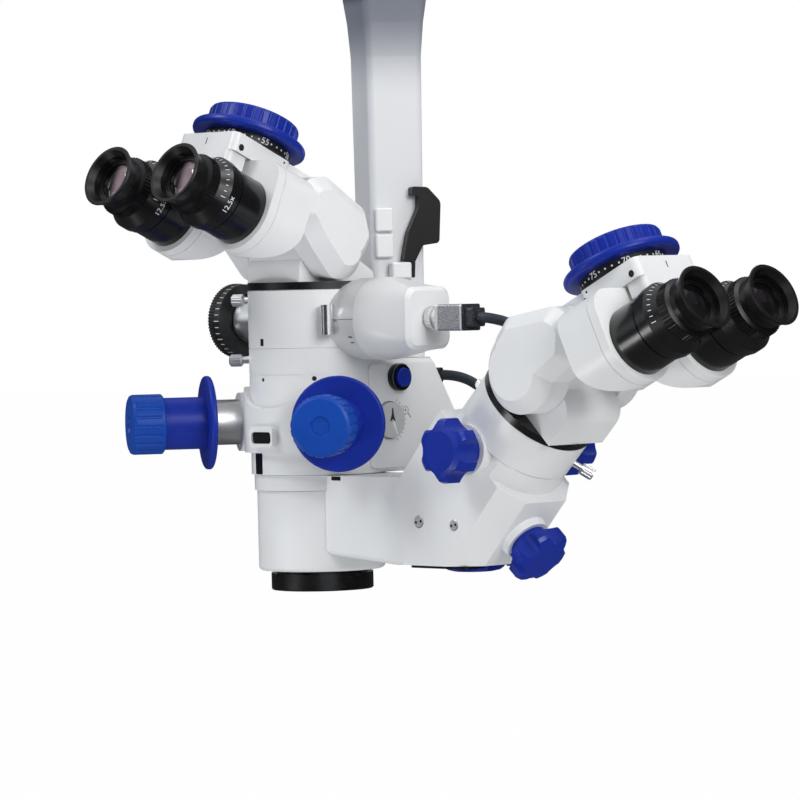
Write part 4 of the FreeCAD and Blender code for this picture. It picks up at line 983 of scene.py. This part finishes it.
def studio_level(tree, level):
    """Even light for matt surfaces; polished ones mirror a pale ceiling and two pale screens."""
    way = tree.nodes.new("ShaderNodeTexCoord").outputs["Generated"]
    total = None
    for aim, low, high, power in (((0, 0, 1), 0.45, 0.85, 0.85), ((0.82, -0.5, 0.28), 0.86, 0.97, 1.7),
                                  ((-0.5, -0.8, 0.33), 0.90, 0.98, 1.3), ((0, 0, 1), -1.0, 0.2, 0.06)):
        dot = tree.nodes.new("ShaderNodeVectorMath")
        dot.operation = "DOT_PRODUCT"
        tree.links.new(way, dot.inputs[0])
        dot.inputs[1].default_value = Vector(aim).normalized()
        step = tree.nodes.new("ShaderNodeMapRange")
        step.interpolation_type = "SMOOTHSTEP"
        tree.links.new(dot.outputs["Value"], step.inputs["Value"])
        for key, value in (("From Min", low), ("From Max", high), ("To Max", power)):
            step.inputs[key].default_value = value
        if total is None:
            total = step.outputs[0]
            continue
        plus = tree.nodes.new("ShaderNodeMath")
        tree.links.new(total, plus.inputs[0])
        tree.links.new(step.outputs[0], plus.inputs[1])
        total = plus.outputs[0]
    rays = tree.nodes.new("ShaderNodeLightPath").outputs
    pick = tree.nodes.new("ShaderNodeMapRange")
    tree.links.new(rays["Is Glossy Ray"], pick.inputs["Value"])
    pick.inputs["To Min"].default_value = level
    tree.links.new(total, pick.inputs["To Max"])
    return pick.outputs[0]


def dimmed_in_reflections(tree, level, share):
    """A level that polished surfaces mirror only in part, as in a studio with dark surroundings."""
    rays = tree.nodes.new("ShaderNodeLightPath").outputs
    part = tree.nodes.new("ShaderNodeMapRange")
    tree.links.new(rays["Is Glossy Ray"], part.inputs["Value"])
    part.inputs["To Min"].default_value = level
    part.inputs["To Max"].default_value = level * share
    return part.outputs[0]


def seen_directly(tree, share):
    """The part of what the camera sees, through glass or not, that is shown as plain white."""
    rays = tree.nodes.new("ShaderNodeLightPath").outputs
    sums = tree.nodes.new("ShaderNodeMath")
    sums.operation = "MAXIMUM"
    tree.links.new(rays["Is Camera Ray"], sums.inputs[0])
    tree.links.new(rays["Is Transmission Ray"], sums.inputs[1])
    part = tree.nodes.new("ShaderNodeMath")
    part.operation = "MULTIPLY"
    tree.links.new(sums.outputs[0], part.inputs[0])
    part.inputs[1].default_value = share
    return part.outputs[0]


STEPS = (MICROSCOPE_OT_camera, MICROSCOPE_OT_finishes, MICROSCOPE_OT_cable,
         MICROSCOPE_OT_distance_scales, MICROSCOPE_OT_eyepieces, MICROSCOPE_OT_iris_wheel,
         MICROSCOPE_OT_panel_marks, MICROSCOPE_OT_body_details, MICROSCOPE_OT_thumbscrews,
         MICROSCOPE_OT_stage)


class MICROSCOPE_PT_panel(bpy.types.Panel):
    """Lists the microscope's pieces"""
    bl_label = "Surgical microscope"
    bl_space_type = "VIEW_3D"
    bl_region_type = "UI"
    bl_category = "Microscope"

    def draw(self, context):
        for group in ("microscope_scene", "microscope_colours", "microscope_marks"):
            values = getattr(context.scene, group)
            for name in values.bl_rna.properties.keys():
                if name not in ("rna_type", "name"):
                    self.layout.prop(values, name)
        for step in STEPS:
            self.layout.operator(step.bl_idname)


CLASSES = (SceneSizes, Colours, MarkingSizes, *STEPS, MICROSCOPE_PT_panel)


def register():
    for made in CLASSES:
        bpy.utils.register_class(made)
    bpy.types.Scene.microscope_scene = PointerProperty(type=SceneSizes)
    bpy.types.Scene.microscope_colours = PointerProperty(type=Colours)
    bpy.types.Scene.microscope_marks = PointerProperty(type=MarkingSizes)


def unregister():
    del bpy.types.Scene.microscope_scene
    del bpy.types.Scene.microscope_colours
    del bpy.types.Scene.microscope_marks
    for made in reversed(CLASSES):
        bpy.utils.unregister_class(made)


def main():
    register()
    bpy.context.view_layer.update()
    for step in STEPS:
        space, name = step.bl_idname.split(".")
        getattr(getattr(bpy.ops, space), name)()


if __name__ == "__main__":
    main()
